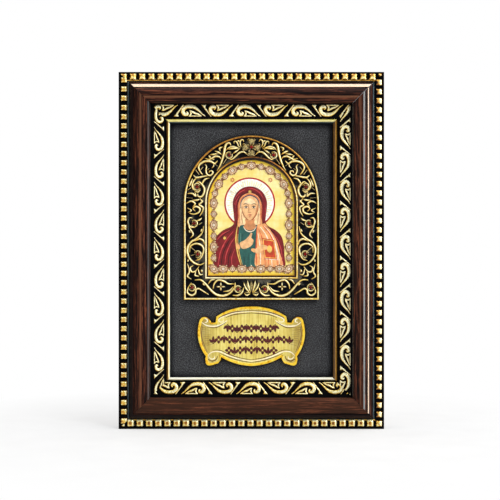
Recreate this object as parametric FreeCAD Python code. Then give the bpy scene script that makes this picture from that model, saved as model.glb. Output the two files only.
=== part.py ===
import FreeCAD, Part
import math
import os
from FreeCAD import Vector

# A small framed icon: four mitred rails round a mat board that carries a cast
# arch plaque, a printed panel and a scroll-shaped title plate.
# Millimetres. Width along X, up along Z, and the front looks towards -Y.
# The origin is the middle of the flat lower face that the frame stands on.

# Boards in the rebate
mat_width = 100.0
mat_height = 150.0
mat_thickness = 2.0
backing_thickness = 3.0
backing_inset = 0.2
board_clearance = 0.5

# Moulding widths, from the outer edge to the sight edge
moulding_width = 28.0
edge_band = 0.9
stud_width = 4.0
shoulder_gap = 0.9
shoulder_width = 2.6
crease_width = 0.6
scroll_width = 7.9
lip_gap = 0.9
lip_width = 2.0
lap = 5.5

# Moulding heights above the back of the frame
moulding_depth = 17.0
side_depth = 12.0
channel_depth = 0.6
crease_depth = 0.6
cushion_fall = 0.4
cushion_radius = 1.6
scroll_high = 11.4
scroll_low = 9.6
lip_floor = 8.6
lip_top = 9.9
edge_round = 0.5

# Stud row
stud_length = 4.0
stud_gap = 1.08
stud_height = 1.6
stud_root = 0.4
# Facets of a stud's side from floor to top: shares of its width and its height
stud_facet_shares = ((0.0, 0.0), (0.07, 0.6), (0.28, 1.0))

# Wedges in the back of each mitre
nail_leg = 4.5
nail_thickness = 0.5
nail_depth = 8.0
nail_half_angle = 30.0
mitre_angle = 45.0
half_turn = 180.0
nail_place_shares = (0.32, 0.7)

# Arch plaque: bare mat beside and above it, and its band from edge to window
plaque_side_margin = 7.5
plaque_top_margin = 6.5
plaque_thickness = 3.0
plaque_ground_depth = 1.2
outer_rim = 0.95
inner_rim = 2.0
rim_groove_width = 0.4
rim_groove_depth = 0.5
window_side_band = 13.5
window_sill = 13.4
pad_thickness = 1.0

# Printed panel in the plaque's back
panel_lap = 1.3
panel_thickness = 1.4
panel_clearance = 0.2

# Stones and their settings
stone_diameter = 1.8
stone_girdle = 0.5
stone_crown = 0.45
stone_table_share = 0.55
stone_clearance = 0.05
stone_sides = 8
setting_diameter = 2.8
setting_height = 1.1

# Stone places: angle from straight up and share of the band from inner to outer rim
arch_stone_shares = ((0.0, 0.48), (24.9, 0.33), (-24.9, 0.33), (73.4, 0.53), (-73.4, 0.53))
# Share of the straight side's height and share of the band
side_stone_shares = ((0.79, 0.57), (0.472, 0.38), (0.126, 0.67))
# Share of half the plaque's width and share of the lower band
sill_stone_shares = ((0.197, 0.46),)

# Title plate: bare mat beside, below and above it
cartouche_side_margin = 14.65
cartouche_bottom_margin = 6.0
cartouche_gap = 3.8
cartouche_height = 32.7
cartouche_thickness = 1.0
cartouche_border = 1.1
cartouche_field_depth = 0.3
# Right half of the outline from top to bottom: x and z as shares of the half
# sizes, and how far the stretch up to there stands off its chord
cartouche_shares = (
    (0.643, 0.667, 0.077),
    (0.655, 0.5, 0.0),
    (0.777, 0.5, 0.0),
    (0.958, 0.52, 0.5),
    (0.87, -0.7, 0.122),
    (0.572, -0.735, 0.52),
    (0.0, -1.0, 0.068),
)

# Foam tape pads: lengths and places as shares of what they carry
pad_width = 7.0
side_pad_share = 0.3
side_pad_start_shares = (0.1, 0.6)
panel_pad_share = 0.5
cartouche_pad_share = 0.5
cartouche_pad_offset_share = 0.45

# Turn buttons on the back of the side rails, pivoting so far outside the rebate
button_length = 20.0
button_width = 8.0
button_thickness = 1.2
button_tail = 4.5
button_gap = 0.1
button_rebate_margin = 4.0
button_spacing = 100.0
pivot_clearance = 0.3

# Screws of the turn buttons
screw_diameter = 2.4
screw_depth = 7.0
screw_head_diameter = 5.2
screw_head_height = 1.4
screw_crown_share = 0.6
screw_clearance = 0.05

# Hanger on the back of the top rail, its ring's axis so far above the rebate
hanger_rebate_margin = 11.0
hanger_width = 7.5
hanger_length = 10.5
hanger_thickness = 1.0
hanger_screw_drop = 6.3
hanger_screw_depth = 8.0
hanger_head_diameter = 4.6
ring_wire = 1.6
ring_width = 13.0
ring_drop = 9.0
ring_corner = 1.6
ring_sides = 8
ring_clearance = 0.3

# One overrun for every cut that has to pass a face
overrun = 1.0

# Bulge of a quarter and a half circle over its chord
quarter_bulge_share = (math.sqrt(2) - 1) / 2
half_bulge_share = 0.5
shoulder_bulge_share = 0.16
rise_bulge_share = 0.07
cushion_bulge_share = 0.03
crest_share = 0.68
ridge_share = 0.38

# Sizes that follow from the ones above
outer_width = mat_width - 2 * lap + 2 * moulding_width
outer_height = mat_height - 2 * lap + 2 * moulding_width
standing_depth = side_depth - edge_round
back_y = standing_depth / 2
stud_floor = side_depth - channel_depth
stud_pitch = stud_length + stud_gap
channel_at = edge_band
groove_at = channel_at + stud_width
shoulder_at = groove_at + shoulder_gap
crest_at = shoulder_at + shoulder_width
cushion_at = crest_at + crease_width
lip_at = moulding_width - lip_width
scroll_end = lip_at - lip_gap
step_at = scroll_end - scroll_width
ridge_at = cushion_at + ridge_share * (step_at - cushion_at)
crest_height = side_depth + crest_share * (moulding_depth - side_depth)
cushion_edge_height = moulding_depth - cushion_fall
rebate_at = moulding_width - lap - board_clearance
rebate_depth = mat_thickness + backing_thickness + backing_inset
sight_width = mat_width - 2 * lap
sight_bottom = moulding_width
sight_top = outer_height - moulding_width
cartouche_width = sight_width - 2 * cartouche_side_margin
cartouche_middle = sight_bottom + cartouche_bottom_margin + cartouche_height / 2
plaque_width = sight_width - 2 * plaque_side_margin
plaque_bottom = cartouche_middle + cartouche_height / 2 + cartouche_gap
plaque_spring = sight_top - plaque_top_margin - plaque_width / 2
plaque_straight = plaque_spring - plaque_bottom
window_width = plaque_width - 2 * window_side_band
plaque_base = rebate_depth + pad_thickness
plaque_face = plaque_base + plaque_thickness
plaque_ground = plaque_face - plaque_ground_depth
band_inner = window_width / 2 + inner_rim
band_outer = plaque_width / 2 - outer_rim
cartouche_face = rebate_depth + pad_thickness + cartouche_thickness
button_inset = rebate_at - button_rebate_margin
button_base = -button_gap
button_top = button_base - button_thickness
barrel_inner = ring_wire / 2 + ring_clearance
barrel_outer = barrel_inner + hanger_thickness
hanger_axis_z = outer_height - rebate_at + hanger_rebate_margin
along_x = Vector(1, 0, 0)
along_y = Vector(0, 1, 0)
origin = Vector(0, 0, 0)


def y_at(height):
    """Y of a plane that lies so high above the back of the frame."""
    return back_y - height


def bulged(start, end, share, normal):
    """Edge from start to end that stands off its chord by a share of it."""
    if share == 0:
        return Part.makeLine(start, end)
    middle = (start + end) * 0.5 + normal.cross(end - start) * share
    return Part.Arc(start, middle, end).toShape()


def closed_face(start, stretches, normal):
    """Face inside an outline given as its next corners and their bulges."""
    edges = []
    here = start
    for corner, share in stretches:
        edges.append(bulged(here, corner, share, normal))
        here = corner
    if here.distanceToPoint(start) > 0:
        edges.append(Part.makeLine(here, start))
    return Part.Face(Part.Wire(edges))


def slab(x_size, z_size, x_middle, z_middle, low, high):
    """Flat box, with its heights measured above the back of the frame."""
    corner = Vector(x_middle - x_size / 2, y_at(high), z_middle - z_size / 2)
    return Part.makeBox(x_size, high - low, z_size, corner)


def peg(radius, x, z, low, high):
    """Round bar square to the frame, between two heights."""
    return Part.makeCylinder(radius, high - low, Vector(x, y_at(low), z), along_y * -1)


def rail_profile():
    """Section of the moulding, in the plane across the lower rail."""
    outline = (
        (0, side_depth - edge_round, 0),
        (edge_round, side_depth, quarter_bulge_share),
        (channel_at, side_depth, 0),
        (channel_at, stud_floor, 0),
        (shoulder_at, stud_floor, 0),
        (crest_at, crest_height, shoulder_bulge_share),
        (crest_at + crease_width / 2, crest_height - crease_depth, 0),
        (cushion_at, crest_height, 0),
        (ridge_at, moulding_depth, rise_bulge_share),
        (step_at - cushion_radius, cushion_edge_height, cushion_bulge_share),
        (step_at, cushion_edge_height - cushion_radius, quarter_bulge_share),
        (step_at, scroll_high, 0),
        (scroll_end, scroll_low, 0),
        (scroll_end, lip_floor, 0),
        (lip_at, lip_floor, 0),
        (lip_at, lip_top - lip_width / 2, 0),
        (moulding_width, lip_top - lip_width / 2, half_bulge_share),
        (moulding_width, rebate_depth, 0),
        (rebate_at, rebate_depth, 0),
        (rebate_at, 0, 0),
    )
    stretches = [(Vector(0, y_at(h), d), share) for d, h, share in outline]
    return closed_face(Vector(0, y_at(0), 0), stretches, along_x)


def stud_outline(width):
    """Places across a stud and heights above the back, from one foot to the other."""
    rise = [(share * width, stud_floor + up * stud_height) for share, up in stud_facet_shares]
    return rise + [(width - place, height) for place, height in reversed(rise)]


def stud_row(length):
    """Row of pillow-shaped studs: a domed strip crossed with a scalloped one."""
    each_way = int((length / 2 - edge_band) / stud_pitch)
    root = stud_floor - stud_root
    low = root - stud_root
    first = -each_way * stud_pitch - stud_length / 2
    scallops = [(first, low)]
    for index in range(2 * each_way + 1):
        foot = first + index * stud_pitch
        scallops.append((foot, root))
        scallops.extend([(foot + place, height) for place, height in stud_outline(stud_length)])
        scallops.append((foot + stud_length, root))
    scallops.append((-first, low))
    scallops.append(scallops[0])
    scalloped = Part.Face(Part.makePolygon([Vector(x, y_at(h), channel_at) for x, h in scallops]))
    dome = [(0, low)] + stud_outline(stud_width) + [(stud_width, low), (0, low)]
    domed = Part.Face(Part.makePolygon([Vector(first, y_at(h), channel_at + d) for d, h in dome]))
    strip = domed.extrude(Vector(-2 * first, 0, 0))
    return scalloped.extrude(Vector(0, 0, stud_width)).common(strip)


def mitre_block(length):
    """Block that leaves a rail's mitred ends when it is crossed with the rail."""
    low_y = y_at(-overrun)
    corners = (
        Vector(-length / 2, low_y, 0),
        Vector(length / 2, low_y, 0),
        Vector(length / 2 - moulding_width, low_y, moulding_width),
        Vector(-length / 2 + moulding_width, low_y, moulding_width),
    )
    face = Part.Face(Part.makePolygon(corners + corners[:1]))
    return face.extrude(Vector(0, -moulding_depth - 2 * overrun, 0))


def rail(length, angle, x, z):
    """One mitred rail with its studs, turned and moved to its side of the frame."""
    bar = rail_profile()
    bar.translate(Vector(-length / 2, 0, 0))
    bar = bar.extrude(Vector(length, 0, 0))
    bar = bar.fuse(stud_row(length)).removeSplitter()
    bar = bar.common(mitre_block(length))
    bar.rotate(origin, along_y, angle)
    bar.translate(Vector(x, 0, z))
    return bar


def v_nail(angle, x, z):
    """Bent steel wedge, flush with the back, with its bend on the mitre."""
    half = math.radians(nail_half_angle)
    sine = math.sin(half)
    cosine = math.cos(half)
    end_x = nail_leg * sine
    end_z = nail_leg * cosine
    inner_x = end_x - nail_thickness * cosine
    inner_z = end_z + nail_thickness * sine
    plan = (
        (0, 0),
        (end_x, end_z),
        (inner_x, inner_z),
        (0, nail_thickness / sine),
        (-inner_x, inner_z),
        (-end_x, end_z),
        (0, 0),
    )
    face = Part.Face(Part.makePolygon([Vector(px, y_at(0), pz) for px, pz in plan]))
    nail = face.extrude(Vector(0, -nail_depth, 0))
    nail.rotate(origin, along_y, angle)
    nail.translate(Vector(x, 0, z))
    return nail


def v_nails():
    """Two wedges behind each of the four mitres."""
    nails = []
    for side in (-1, 1):
        for end in (-1, 1):
            angle = -side * (mitre_angle if end < 0 else half_turn - mitre_angle)
            for share in nail_place_shares:
                inset = share * rebate_at
                x = side * (outer_width / 2 - inset)
                z = outer_height / 2 + end * (outer_height / 2 - inset)
                nails.append(v_nail(angle, x, z))
    return nails


def arch_block(inset, low, high, sill):
    """Arched block whose sides lie so far inside the plaque's, above a sill."""
    half = plaque_width / 2 - inset
    outline = (
        (Vector(half, y_at(low), sill), 0),
        (Vector(half, y_at(low), plaque_spring), 0),
        (Vector(-half, y_at(low), plaque_spring), half_bulge_share),
    )
    face = closed_face(Vector(-half, y_at(low), sill), outline, along_y)
    return face.extrude(Vector(0, low - high, 0))


def window_block(margin, low, high):
    """Block that follows the plaque's window at a margin outside it."""
    inset = (plaque_width - window_width) / 2 - margin
    return arch_block(inset, low, high, plaque_bottom + window_sill - margin)


def stone_places():
    """Middle of every stone on the plaque's band."""
    band = band_outer - band_inner
    places = []
    for angle, share in arch_stone_shares:
        radius = band_inner + share * band
        turn = math.radians(angle)
        places.append((radius * math.sin(turn), plaque_spring + radius * math.cos(turn)))
    for side in (-1, 1):
        for height_share, share in side_stone_shares:
            x = side * (band_inner + share * band)
            places.append((x, plaque_bottom + height_share * plaque_straight))
        for width_share, share in sill_stone_shares:
            sill_band = window_sill - inner_rim - outer_rim
            x = side * width_share * plaque_width / 2
            places.append((x, plaque_bottom + outer_rim + share * sill_band))
    return places


def ring_of_points(radius, x, z, height):
    """Many-sided outline of a stone at one height, closed."""
    corners = []
    for index in range(stone_sides + 1):
        turn = 2 * math.pi * (index + 0.5) / stone_sides
        corners.append(Vector(x + radius * math.cos(turn), y_at(height), z + radius * math.sin(turn)))
    return Part.makePolygon(corners)


def faceted_peg(radius, x, z, low, high):
    """Bar with a stone's number of sides, square to the frame, between two heights."""
    return Part.Face(ring_of_points(radius, x, z, low)).extrude(Vector(0, low - high, 0))


def arch_plaque():
    """Cast surround: rims, sunken ground, window, back recess and settings."""
    body = arch_block(0, plaque_base, plaque_face, plaque_bottom)
    over = plaque_face + overrun
    band = arch_block(outer_rim, plaque_ground, over, plaque_bottom + outer_rim)
    body = body.cut(band.cut(window_block(inner_rim, plaque_ground - overrun, over + overrun)))
    groove_margin = (inner_rim + rim_groove_width) / 2
    groove_floor = plaque_face - rim_groove_depth
    groove = window_block(groove_margin, groove_floor, over)
    groove_core = window_block(groove_margin - rim_groove_width, groove_floor - overrun, over + overrun)
    body = body.cut(groove.cut(groove_core))
    body = body.cut(window_block(0, plaque_base - overrun, over))
    recess = window_block(panel_lap + panel_clearance, plaque_base - overrun, plaque_base + panel_thickness)
    body = body.cut(recess)
    seat = plaque_ground + setting_height - stone_girdle
    for x, z in stone_places():
        top = plaque_ground + setting_height
        body = body.fuse(faceted_peg(setting_diameter / 2, x, z, plaque_ground, top))
        body = body.cut(faceted_peg(stone_diameter / 2 + stone_clearance, x, z, seat, over))
    return body


def icon_panel():
    """Printed panel that lies in the recess of the plaque's back."""
    return window_block(panel_lap, plaque_base, plaque_base + panel_thickness)


def garnets():
    """Cut stones: a straight girdle in the setting and a crown with a flat top."""
    seat = plaque_ground + setting_height - stone_girdle
    girdle_top = seat + stone_girdle
    radius = stone_diameter / 2
    stones = []
    for x, z in stone_places():
        levels = [
            ring_of_points(radius, x, z, seat),
            ring_of_points(radius, x, z, girdle_top),
            ring_of_points(radius * stone_table_share, x, z, girdle_top + stone_crown),
        ]
        stones.append(Part.makeLoft(levels, True, True))
    return stones


def plaque_pads():
    """Foam tape under the plaque's sides and under the printed panel."""
    low = rebate_depth
    high = plaque_base
    pads = []
    x = (band_inner + band_outer) / 2
    length = side_pad_share * plaque_straight
    for side in (-1, 1):
        for share in side_pad_start_shares:
            z = plaque_bottom + share * plaque_straight + length / 2
            pads.append(slab(pad_width, length, side * x, z, low, high))
    panel_middle = (plaque_bottom + window_sill + plaque_spring + window_width / 2) / 2
    panel_pad = panel_pad_share * window_width
    pads.append(slab(panel_pad, panel_pad, 0, panel_middle, low, high))
    return pads


def cartouche_block(inset, low, high):
    """Block with the title plate's scroll outline, drawn in by an inset."""
    half_x = cartouche_width / 2 - inset
    half_z = cartouche_height / 2 - inset
    right = []
    for x_share, z_share, bulge_share in cartouche_shares:
        corner = Vector(x_share * half_x, y_at(low), cartouche_middle + z_share * half_z)
        right.append((corner, bulge_share))
    start = Vector(0, y_at(low), cartouche_middle + half_z)
    corners = [start] + [corner for corner, bulge_share in right]
    left = []
    for index in range(len(right) - 1, -1, -1):
        corner = corners[index]
        left.append((Vector(-corner.x, corner.y, corner.z), right[index][1]))
    face = closed_face(start, right + left, along_y * -1)
    return face.extrude(Vector(0, low - high, 0))


def cartouche():
    """Title plate with a raised border round its field."""
    base = rebate_depth + pad_thickness
    field_floor = cartouche_face - cartouche_field_depth
    plate = cartouche_block(0, base, cartouche_face)
    return plate.cut(cartouche_block(cartouche_border, field_floor, cartouche_face + overrun))


def cartouche_pads():
    """Foam tape under the title plate."""
    length = cartouche_pad_share * cartouche_height
    top = rebate_depth + pad_thickness
    pads = []
    for side in (-1, 1):
        x = side * cartouche_pad_offset_share * cartouche_width / 2
        pads.append(slab(pad_width, length, x, cartouche_middle, rebate_depth, top))
    return pads


def button_places():
    """Pivots of the four turn buttons: name, side, X and Z."""
    x = outer_width / 2 - button_inset
    places = []
    for side, side_name in ((-1, "left"), (1, "right")):
        for end, end_name in ((-1, "lower"), (1, "upper")):
            z = outer_height / 2 + end * button_spacing / 2
            places.append((end_name + "_" + side_name, side, side * x, z))
    return places


def turn_button(side, x, z):
    """Flat tongue with round ends that swings over the backing board."""
    reach = button_length - button_tail
    tail_x = x + side * (button_tail - button_width / 2)
    tip_x = x - side * (reach - button_width / 2)
    bar = slab(abs(tip_x - tail_x), button_width, (tip_x + tail_x) / 2, z, button_top, button_base)
    bar = bar.fuse(peg(button_width / 2, tail_x, z, button_top, button_base))
    bar = bar.fuse(peg(button_width / 2, tip_x, z, button_top, button_base)).removeSplitter()
    hole_radius = screw_diameter / 2 + pivot_clearance
    return bar.cut(peg(hole_radius, x, z, button_top - overrun, button_base + overrun))


def button_screw(x, z):
    """Pan-head screw that a turn button swings on."""
    head_base = button_top - button_gap
    crown_base = head_base - screw_head_height / 2
    rim_radius = screw_head_diameter / 2
    shank = peg(screw_diameter / 2, x, z, head_base, screw_depth)
    head = peg(rim_radius, x, z, crown_base, head_base)
    crown_start = Vector(x, y_at(crown_base), z)
    crown_radius = screw_crown_share * rim_radius
    crown = Part.makeCone(rim_radius, crown_radius, screw_head_height / 2, crown_start, along_y)
    return head.fuse(crown).fuse(shank).removeSplitter()


def hanger_screw_z():
    """Height of the hanger's screw."""
    return hanger_axis_z - hanger_screw_drop


def countersink(extra):
    """Cone of the hanger screw's head, widened by so much all round."""
    small = screw_diameter / 2 + extra
    large = hanger_head_diameter / 2 + extra
    base = Vector(0, y_at(0), hanger_screw_z())
    return Part.makeCone(small, large, hanger_thickness, base, along_y)


def hanger_screw():
    """Countersunk screw, flush with the hanger plate."""
    shank = peg(screw_diameter / 2, 0, hanger_screw_z(), 0, hanger_screw_depth)
    return countersink(0).fuse(shank).removeSplitter()


def hanger_plate():
    """Strap that lies on the rail and curls into a barrel round the ring."""
    axis_y = y_at(-barrel_outer)
    start = Vector(-hanger_width / 2, axis_y, hanger_axis_z)
    barrel = Part.makeCylinder(barrel_outer, hanger_width, start, along_x)
    strap_middle = hanger_axis_z - hanger_length / 2
    strap = slab(hanger_width, hanger_length, 0, strap_middle, -hanger_thickness, 0)
    plate = barrel.fuse(strap)
    start = start - along_x * overrun
    bore = Part.makeCylinder(barrel_inner, hanger_width + 2 * overrun, start, along_x)
    plate = plate.cut(bore)
    return plate.cut(countersink(screw_clearance))


def hanger_ring():
    """Bent wire ring: a straight bar in the barrel and a round loop below."""
    half = ring_width / 2
    axis_y = y_at(-barrel_outer)
    leg_end = ring_drop - half
    plan = (
        (half - ring_corner, 0, 0),
        (half, -ring_corner, quarter_bulge_share),
        (half, -leg_end, 0),
        (-half, -leg_end, half_bulge_share),
        (-half, -ring_corner, 0),
        (-half + ring_corner, 0, quarter_bulge_share),
        (0, 0, 0),
    )
    edges = []
    here = Vector(0, axis_y, hanger_axis_z)
    for x, z, share in plan:
        corner = Vector(x, axis_y, hanger_axis_z + z)
        edges.append(bulged(here, corner, share, along_y * -1))
        here = corner
    path = Part.Wire(edges)
    section = []
    for index in range(ring_sides + 1):
        turn = 2 * math.pi * (index + 0.5) / ring_sides
        y = axis_y + ring_wire / 2 * math.cos(turn)
        section.append(Vector(0, y, hanger_axis_z + ring_wire / 2 * math.sin(turn)))
    return path.makePipeShell([Part.makePolygon(section)], True, False)


def drilled(shape, holes):
    """Shape with every hole cut from it."""
    for hole in holes:
        shape = shape.cut(hole)
    return shape


def save(name, pieces):
    """Write one node, as a single solid or as a group of separate ones."""
    solids = []
    for piece in pieces:
        solids.extend(piece.Solids)
    shape = solids[0] if len(solids) == 1 else Part.makeCompound(solids)
    shape.exportStep("parts/" + name + ".step")
    print(name, len(solids), "solids", round(shape.Volume, 1), "mm3", shape.isValid())


def main():
    os.makedirs("parts", exist_ok=True)
    nails = v_nails()
    holes = list(nails)
    hole_radius = screw_diameter / 2 + screw_clearance
    for name, side, x, z in button_places():
        holes.append(peg(hole_radius, x, z, -overrun, screw_depth))
    holes.append(peg(hole_radius, 0, hanger_screw_z(), -overrun, hanger_screw_depth))
    middle = outer_height / 2
    save("rail_bottom", [drilled(rail(outer_width, 0, 0, 0), holes)])
    save("rail_top", [drilled(rail(outer_width, half_turn, 0, outer_height), holes)])
    save("rail_left", [drilled(rail(outer_height, half_turn / 2, -outer_width / 2, middle), holes)])
    save("rail_right", [drilled(rail(outer_height, -half_turn / 2, outer_width / 2, middle), holes)])
    save("v_nails", nails)
    mat_low = backing_inset + backing_thickness
    save("mat_board", [slab(mat_width, mat_height, 0, middle, mat_low, rebate_depth)])
    save("backing_board", [slab(mat_width, mat_height, 0, middle, backing_inset, mat_low)])
    save("arch_plaque", [arch_plaque()])
    save("icon_panel", [icon_panel()])
    save("garnets", garnets())
    save("plaque_pads", plaque_pads())
    save("cartouche", [cartouche()])
    save("cartouche_pads", cartouche_pads())
    for name, side, x, z in button_places():
        save("turn_button_" + name, [turn_button(side, x, z)])
    save("button_screws", [button_screw(x, z) for name, side, x, z in button_places()])
    save("hanger_plate", [hanger_plate()])
    save("hanger_ring", [hanger_ring()])
    save("hanger_screw", [hanger_screw()])


main()
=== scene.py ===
import math
import random

import bmesh
import bpy
from bpy.props import FloatProperty, FloatVectorProperty, PointerProperty
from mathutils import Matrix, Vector


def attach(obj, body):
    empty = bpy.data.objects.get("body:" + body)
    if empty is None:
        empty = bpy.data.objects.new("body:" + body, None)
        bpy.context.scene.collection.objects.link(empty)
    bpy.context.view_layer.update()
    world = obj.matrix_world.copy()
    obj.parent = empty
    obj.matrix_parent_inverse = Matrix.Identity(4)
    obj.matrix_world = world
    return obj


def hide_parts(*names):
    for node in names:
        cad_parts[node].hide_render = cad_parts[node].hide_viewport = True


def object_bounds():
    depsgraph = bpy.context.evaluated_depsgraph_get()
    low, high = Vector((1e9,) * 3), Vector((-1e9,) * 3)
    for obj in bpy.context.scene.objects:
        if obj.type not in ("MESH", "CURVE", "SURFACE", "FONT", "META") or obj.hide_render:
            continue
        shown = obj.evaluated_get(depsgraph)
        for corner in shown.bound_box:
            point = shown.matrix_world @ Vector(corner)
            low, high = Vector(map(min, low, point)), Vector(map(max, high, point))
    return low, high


bl_info = {
    "name": "Framed icon",
    "version": (1, 0, 0),
    "blender": (4, 5, 0),
    "location": "View3D > Sidebar > Icon",
    "description": "Mitred frame with a cast arch plaque, a printed panel and a title plate",
    "category": "Object",
}

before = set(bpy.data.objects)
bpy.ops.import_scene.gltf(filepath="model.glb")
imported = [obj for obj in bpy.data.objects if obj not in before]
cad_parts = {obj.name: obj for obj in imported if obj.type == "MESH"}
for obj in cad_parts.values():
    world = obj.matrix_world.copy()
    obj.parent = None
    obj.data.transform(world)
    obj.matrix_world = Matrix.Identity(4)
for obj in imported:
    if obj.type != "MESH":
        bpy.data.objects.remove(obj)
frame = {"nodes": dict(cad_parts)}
cad_box = [list(corner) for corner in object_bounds()]
nodes = frame["nodes"]

# Lengths are millimetres until a piece is placed. Properties, noises, bumps and the stage are in metres.
# Heights are measured from the back of the rails to the front.
MM = 0.001
BACK_Y = 5.75
LOW, HIGH = cad_box
WIDTH = (HIGH[0] - LOW[0]) / MM
HEIGHT = (HIGH[2] - LOW[2]) / MM
# Level where the arches of plaque and window spring, then half the width and the sill of each
SPRING = 123.5
PLAQUE_HALF, PLAQUE_SILL = 37, 70.5
WINDOW_HALF, WINDOW_SILL = 23.5, 83.9
# Heights that ornament stands on: stud channel, hollow of the plaque, below the print, title plate
CHANNEL, HOLLOW, PRINT, PLATE_FACE = 11.4, 8.0, 7.5, 6.9
# Carved slope of a rail: where it starts and ends across the rail, and how far it falls
SLOPE_START, SLOPE_END, SLOPE_FALL = 17.2, 25.1, 1.8
# Screws of the turn buttons, from the middle of the frame, and the level of the hanger's hinge
BUTTON_X, BUTTON_Z = 54.5, 50
HINGE_Z = HEIGHT - 11


# Colours and nodes

def levels(*colour):
    """Levels from 0 to 255 of a colour, which is given by them or by the name of its property."""
    if isinstance(colour[0], str):
        return [255 * level for level in getattr(settings().colours, colour[0])]
    return colour


def scaled(colour, share):
    """Levels of a colour made darker or lighter."""
    return [min(255, level * share) for level in levels(*colour)]


def shade(*colour):
    """Linear colour of a shade, whose levels are as a screen shows them."""
    parts = [level / 255 for level in levels(*colour)]
    return (*(part / 12.92 if part <= 0.04045 else ((part + 0.055) / 1.055) ** 2.4 for part in parts), 1.0)


class Finish:
    """A material that is being put together from nodes."""

    def __init__(self, name, **shader):
        self.material = bpy.data.materials.new(name)
        self.material.use_nodes = True
        self.tree = self.material.node_tree
        self.shader = self.tree.nodes["Principled BSDF"]
        self.output = self.tree.nodes["Material Output"]
        for key, value in shader.items():
            socket = key.replace("_", " ").title().replace("Ior", "IOR")
            self.shader.inputs[socket].default_value = value

    def node(self, kind, options=None, **inputs):
        """Add a node, set it and link or set its inputs by name or number."""
        made = self.tree.nodes.new("ShaderNode" + kind)
        for key, value in (options or {}).items():
            setattr(made, key, value)
        for key, value in inputs.items():
            numbered = key[0] == "i" and key[1:].isdigit()
            self.feed(made.inputs[int(key[1:]) if numbered else key], value)
        return made

    def feed(self, socket, value):
        """Link a socket to another node's output, or set its value."""
        if isinstance(value, bpy.types.NodeSocket):
            self.tree.links.new(value, socket)
        else:
            socket.default_value = value

    def stretched(self, places, scale):
        """Places, stretched along their three directions."""
        return self.node("Mapping", Vector=places, Scale=scale or (1, 1, 1)).outputs[0]

    def lay(self, *scale):
        """The piece's own lengthwise, crosswise and upward places."""
        return self.stretched(self.node("Attribute", {"attribute_name": "lay"}).outputs["Vector"], scale)

    def body(self, *scale):
        """Places in the object."""
        return self.stretched(self.node("TexCoord").outputs["Object"], scale)

    def relief(self):
        """Value from 0 to 1 at each point: mostly how far it stands out of its ground; on the rails, studs,
        carved bands and plaque rims it also carries painted light and shade.
        """
        return self.node("Attribute", {"attribute_name": "relief"}).outputs["Fac"]

    def noise(self, vector, scale, detail=3.0, roughness=0.5, distortion=0.0):
        """Value of a soft noise."""
        return self.node("TexNoise", Vector=vector, Scale=scale, Detail=detail, Roughness=roughness,
                         Distortion=distortion).outputs["Fac"]

    def ramp(self, value, *stops):
        """Colours along a value. Each stop is a place, then levels or the name of a colour property."""
        made = self.node("ValToRGB", i0=value)
        stretch = made.color_ramp.elements
        while len(stretch) < len(stops):
            stretch.new(0.5)
        for element, (place, *colour) in zip(stretch, stops):
            element.position = place
            element.color = shade(*colour)
        return made.outputs["Color"]

    def grade(self, value, low, high, out_low=0.0, out_high=1.0):
        """Value stretched from one range to another and held inside it."""
        return self.node("MapRange", i0=value, i1=low, i2=high, i3=out_low, i4=out_high).outputs[0]

    def span(self, noise, low, high):
        """Noise stretched from the range where most of it lies to another."""
        return self.grade(noise, 0.3, 0.7, low, high)

    def reckon(self, kind, first, second=0.0):
        """Arithmetic on two values."""
        return self.node("Math", {"operation": kind}, i0=first, i1=second).outputs[0]

    def plus(self, first, second):
        """Sum of two values."""
        return self.reckon("ADD", first, second)

    def weighed(self, first, share, second):
        """Sum of two values, the first by its share and the second by the rest."""
        return self.plus(self.reckon("MULTIPLY", first, share), self.reckon("MULTIPLY", second, 1 - share))

    def tint(self, base, value, low, high, share, *over):
        """Lay a colour over another, up to a share, while a value goes from low to high."""
        colour = over[0] if len(over) == 1 else shade(*over)
        cover = self.grade(value, low, high, 0.0, share)
        return self.node("Mix", {"data_type": "RGBA"}, i0=cover, i6=base, i7=colour).outputs[2]

    def bump(self, height, depth, strength, below=None):
        """Normal that follows a height of so many metres."""
        made = self.node("Bump", Height=height, Distance=depth, Strength=strength)
        if below is not None:
            self.feed(made.inputs["Normal"], below)
        return made.outputs["Normal"]

    def wear(self, colour, roughness=None, normal=None):
        """Feed what varies over the surface into the shader."""
        for name, value in (("Base Color", colour), ("Roughness", roughness), ("Normal", normal)):
            if value is not None:
                self.feed(self.shader.inputs[name], value)
        return self.material


# Mesh building

def on_front(x, z, height):
    """Place of a point by its width, its level and its height above the back."""
    return (x, BACK_Y - height, z)


def rail_place(side):
    """Placing function for one rail: along it, inwards from its outer edge, height."""
    flat = {
        "bottom": lambda s, d: (s, d),
        "top": lambda s, d: (-s, HEIGHT - d),
        "left": lambda s, d: (d - WIDTH / 2, HEIGHT / 2 - s),
        "right": lambda s, d: (WIDTH / 2 - d, HEIGHT / 2 + s),
    }[side]
    return lambda s, d, h: on_front(*flat(s, d), h)


def add(name, data):
    """Object in the scene that holds the data."""
    made = bpy.data.objects.new(name, data)
    bpy.context.scene.collection.objects.link(made)
    return made


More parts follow.
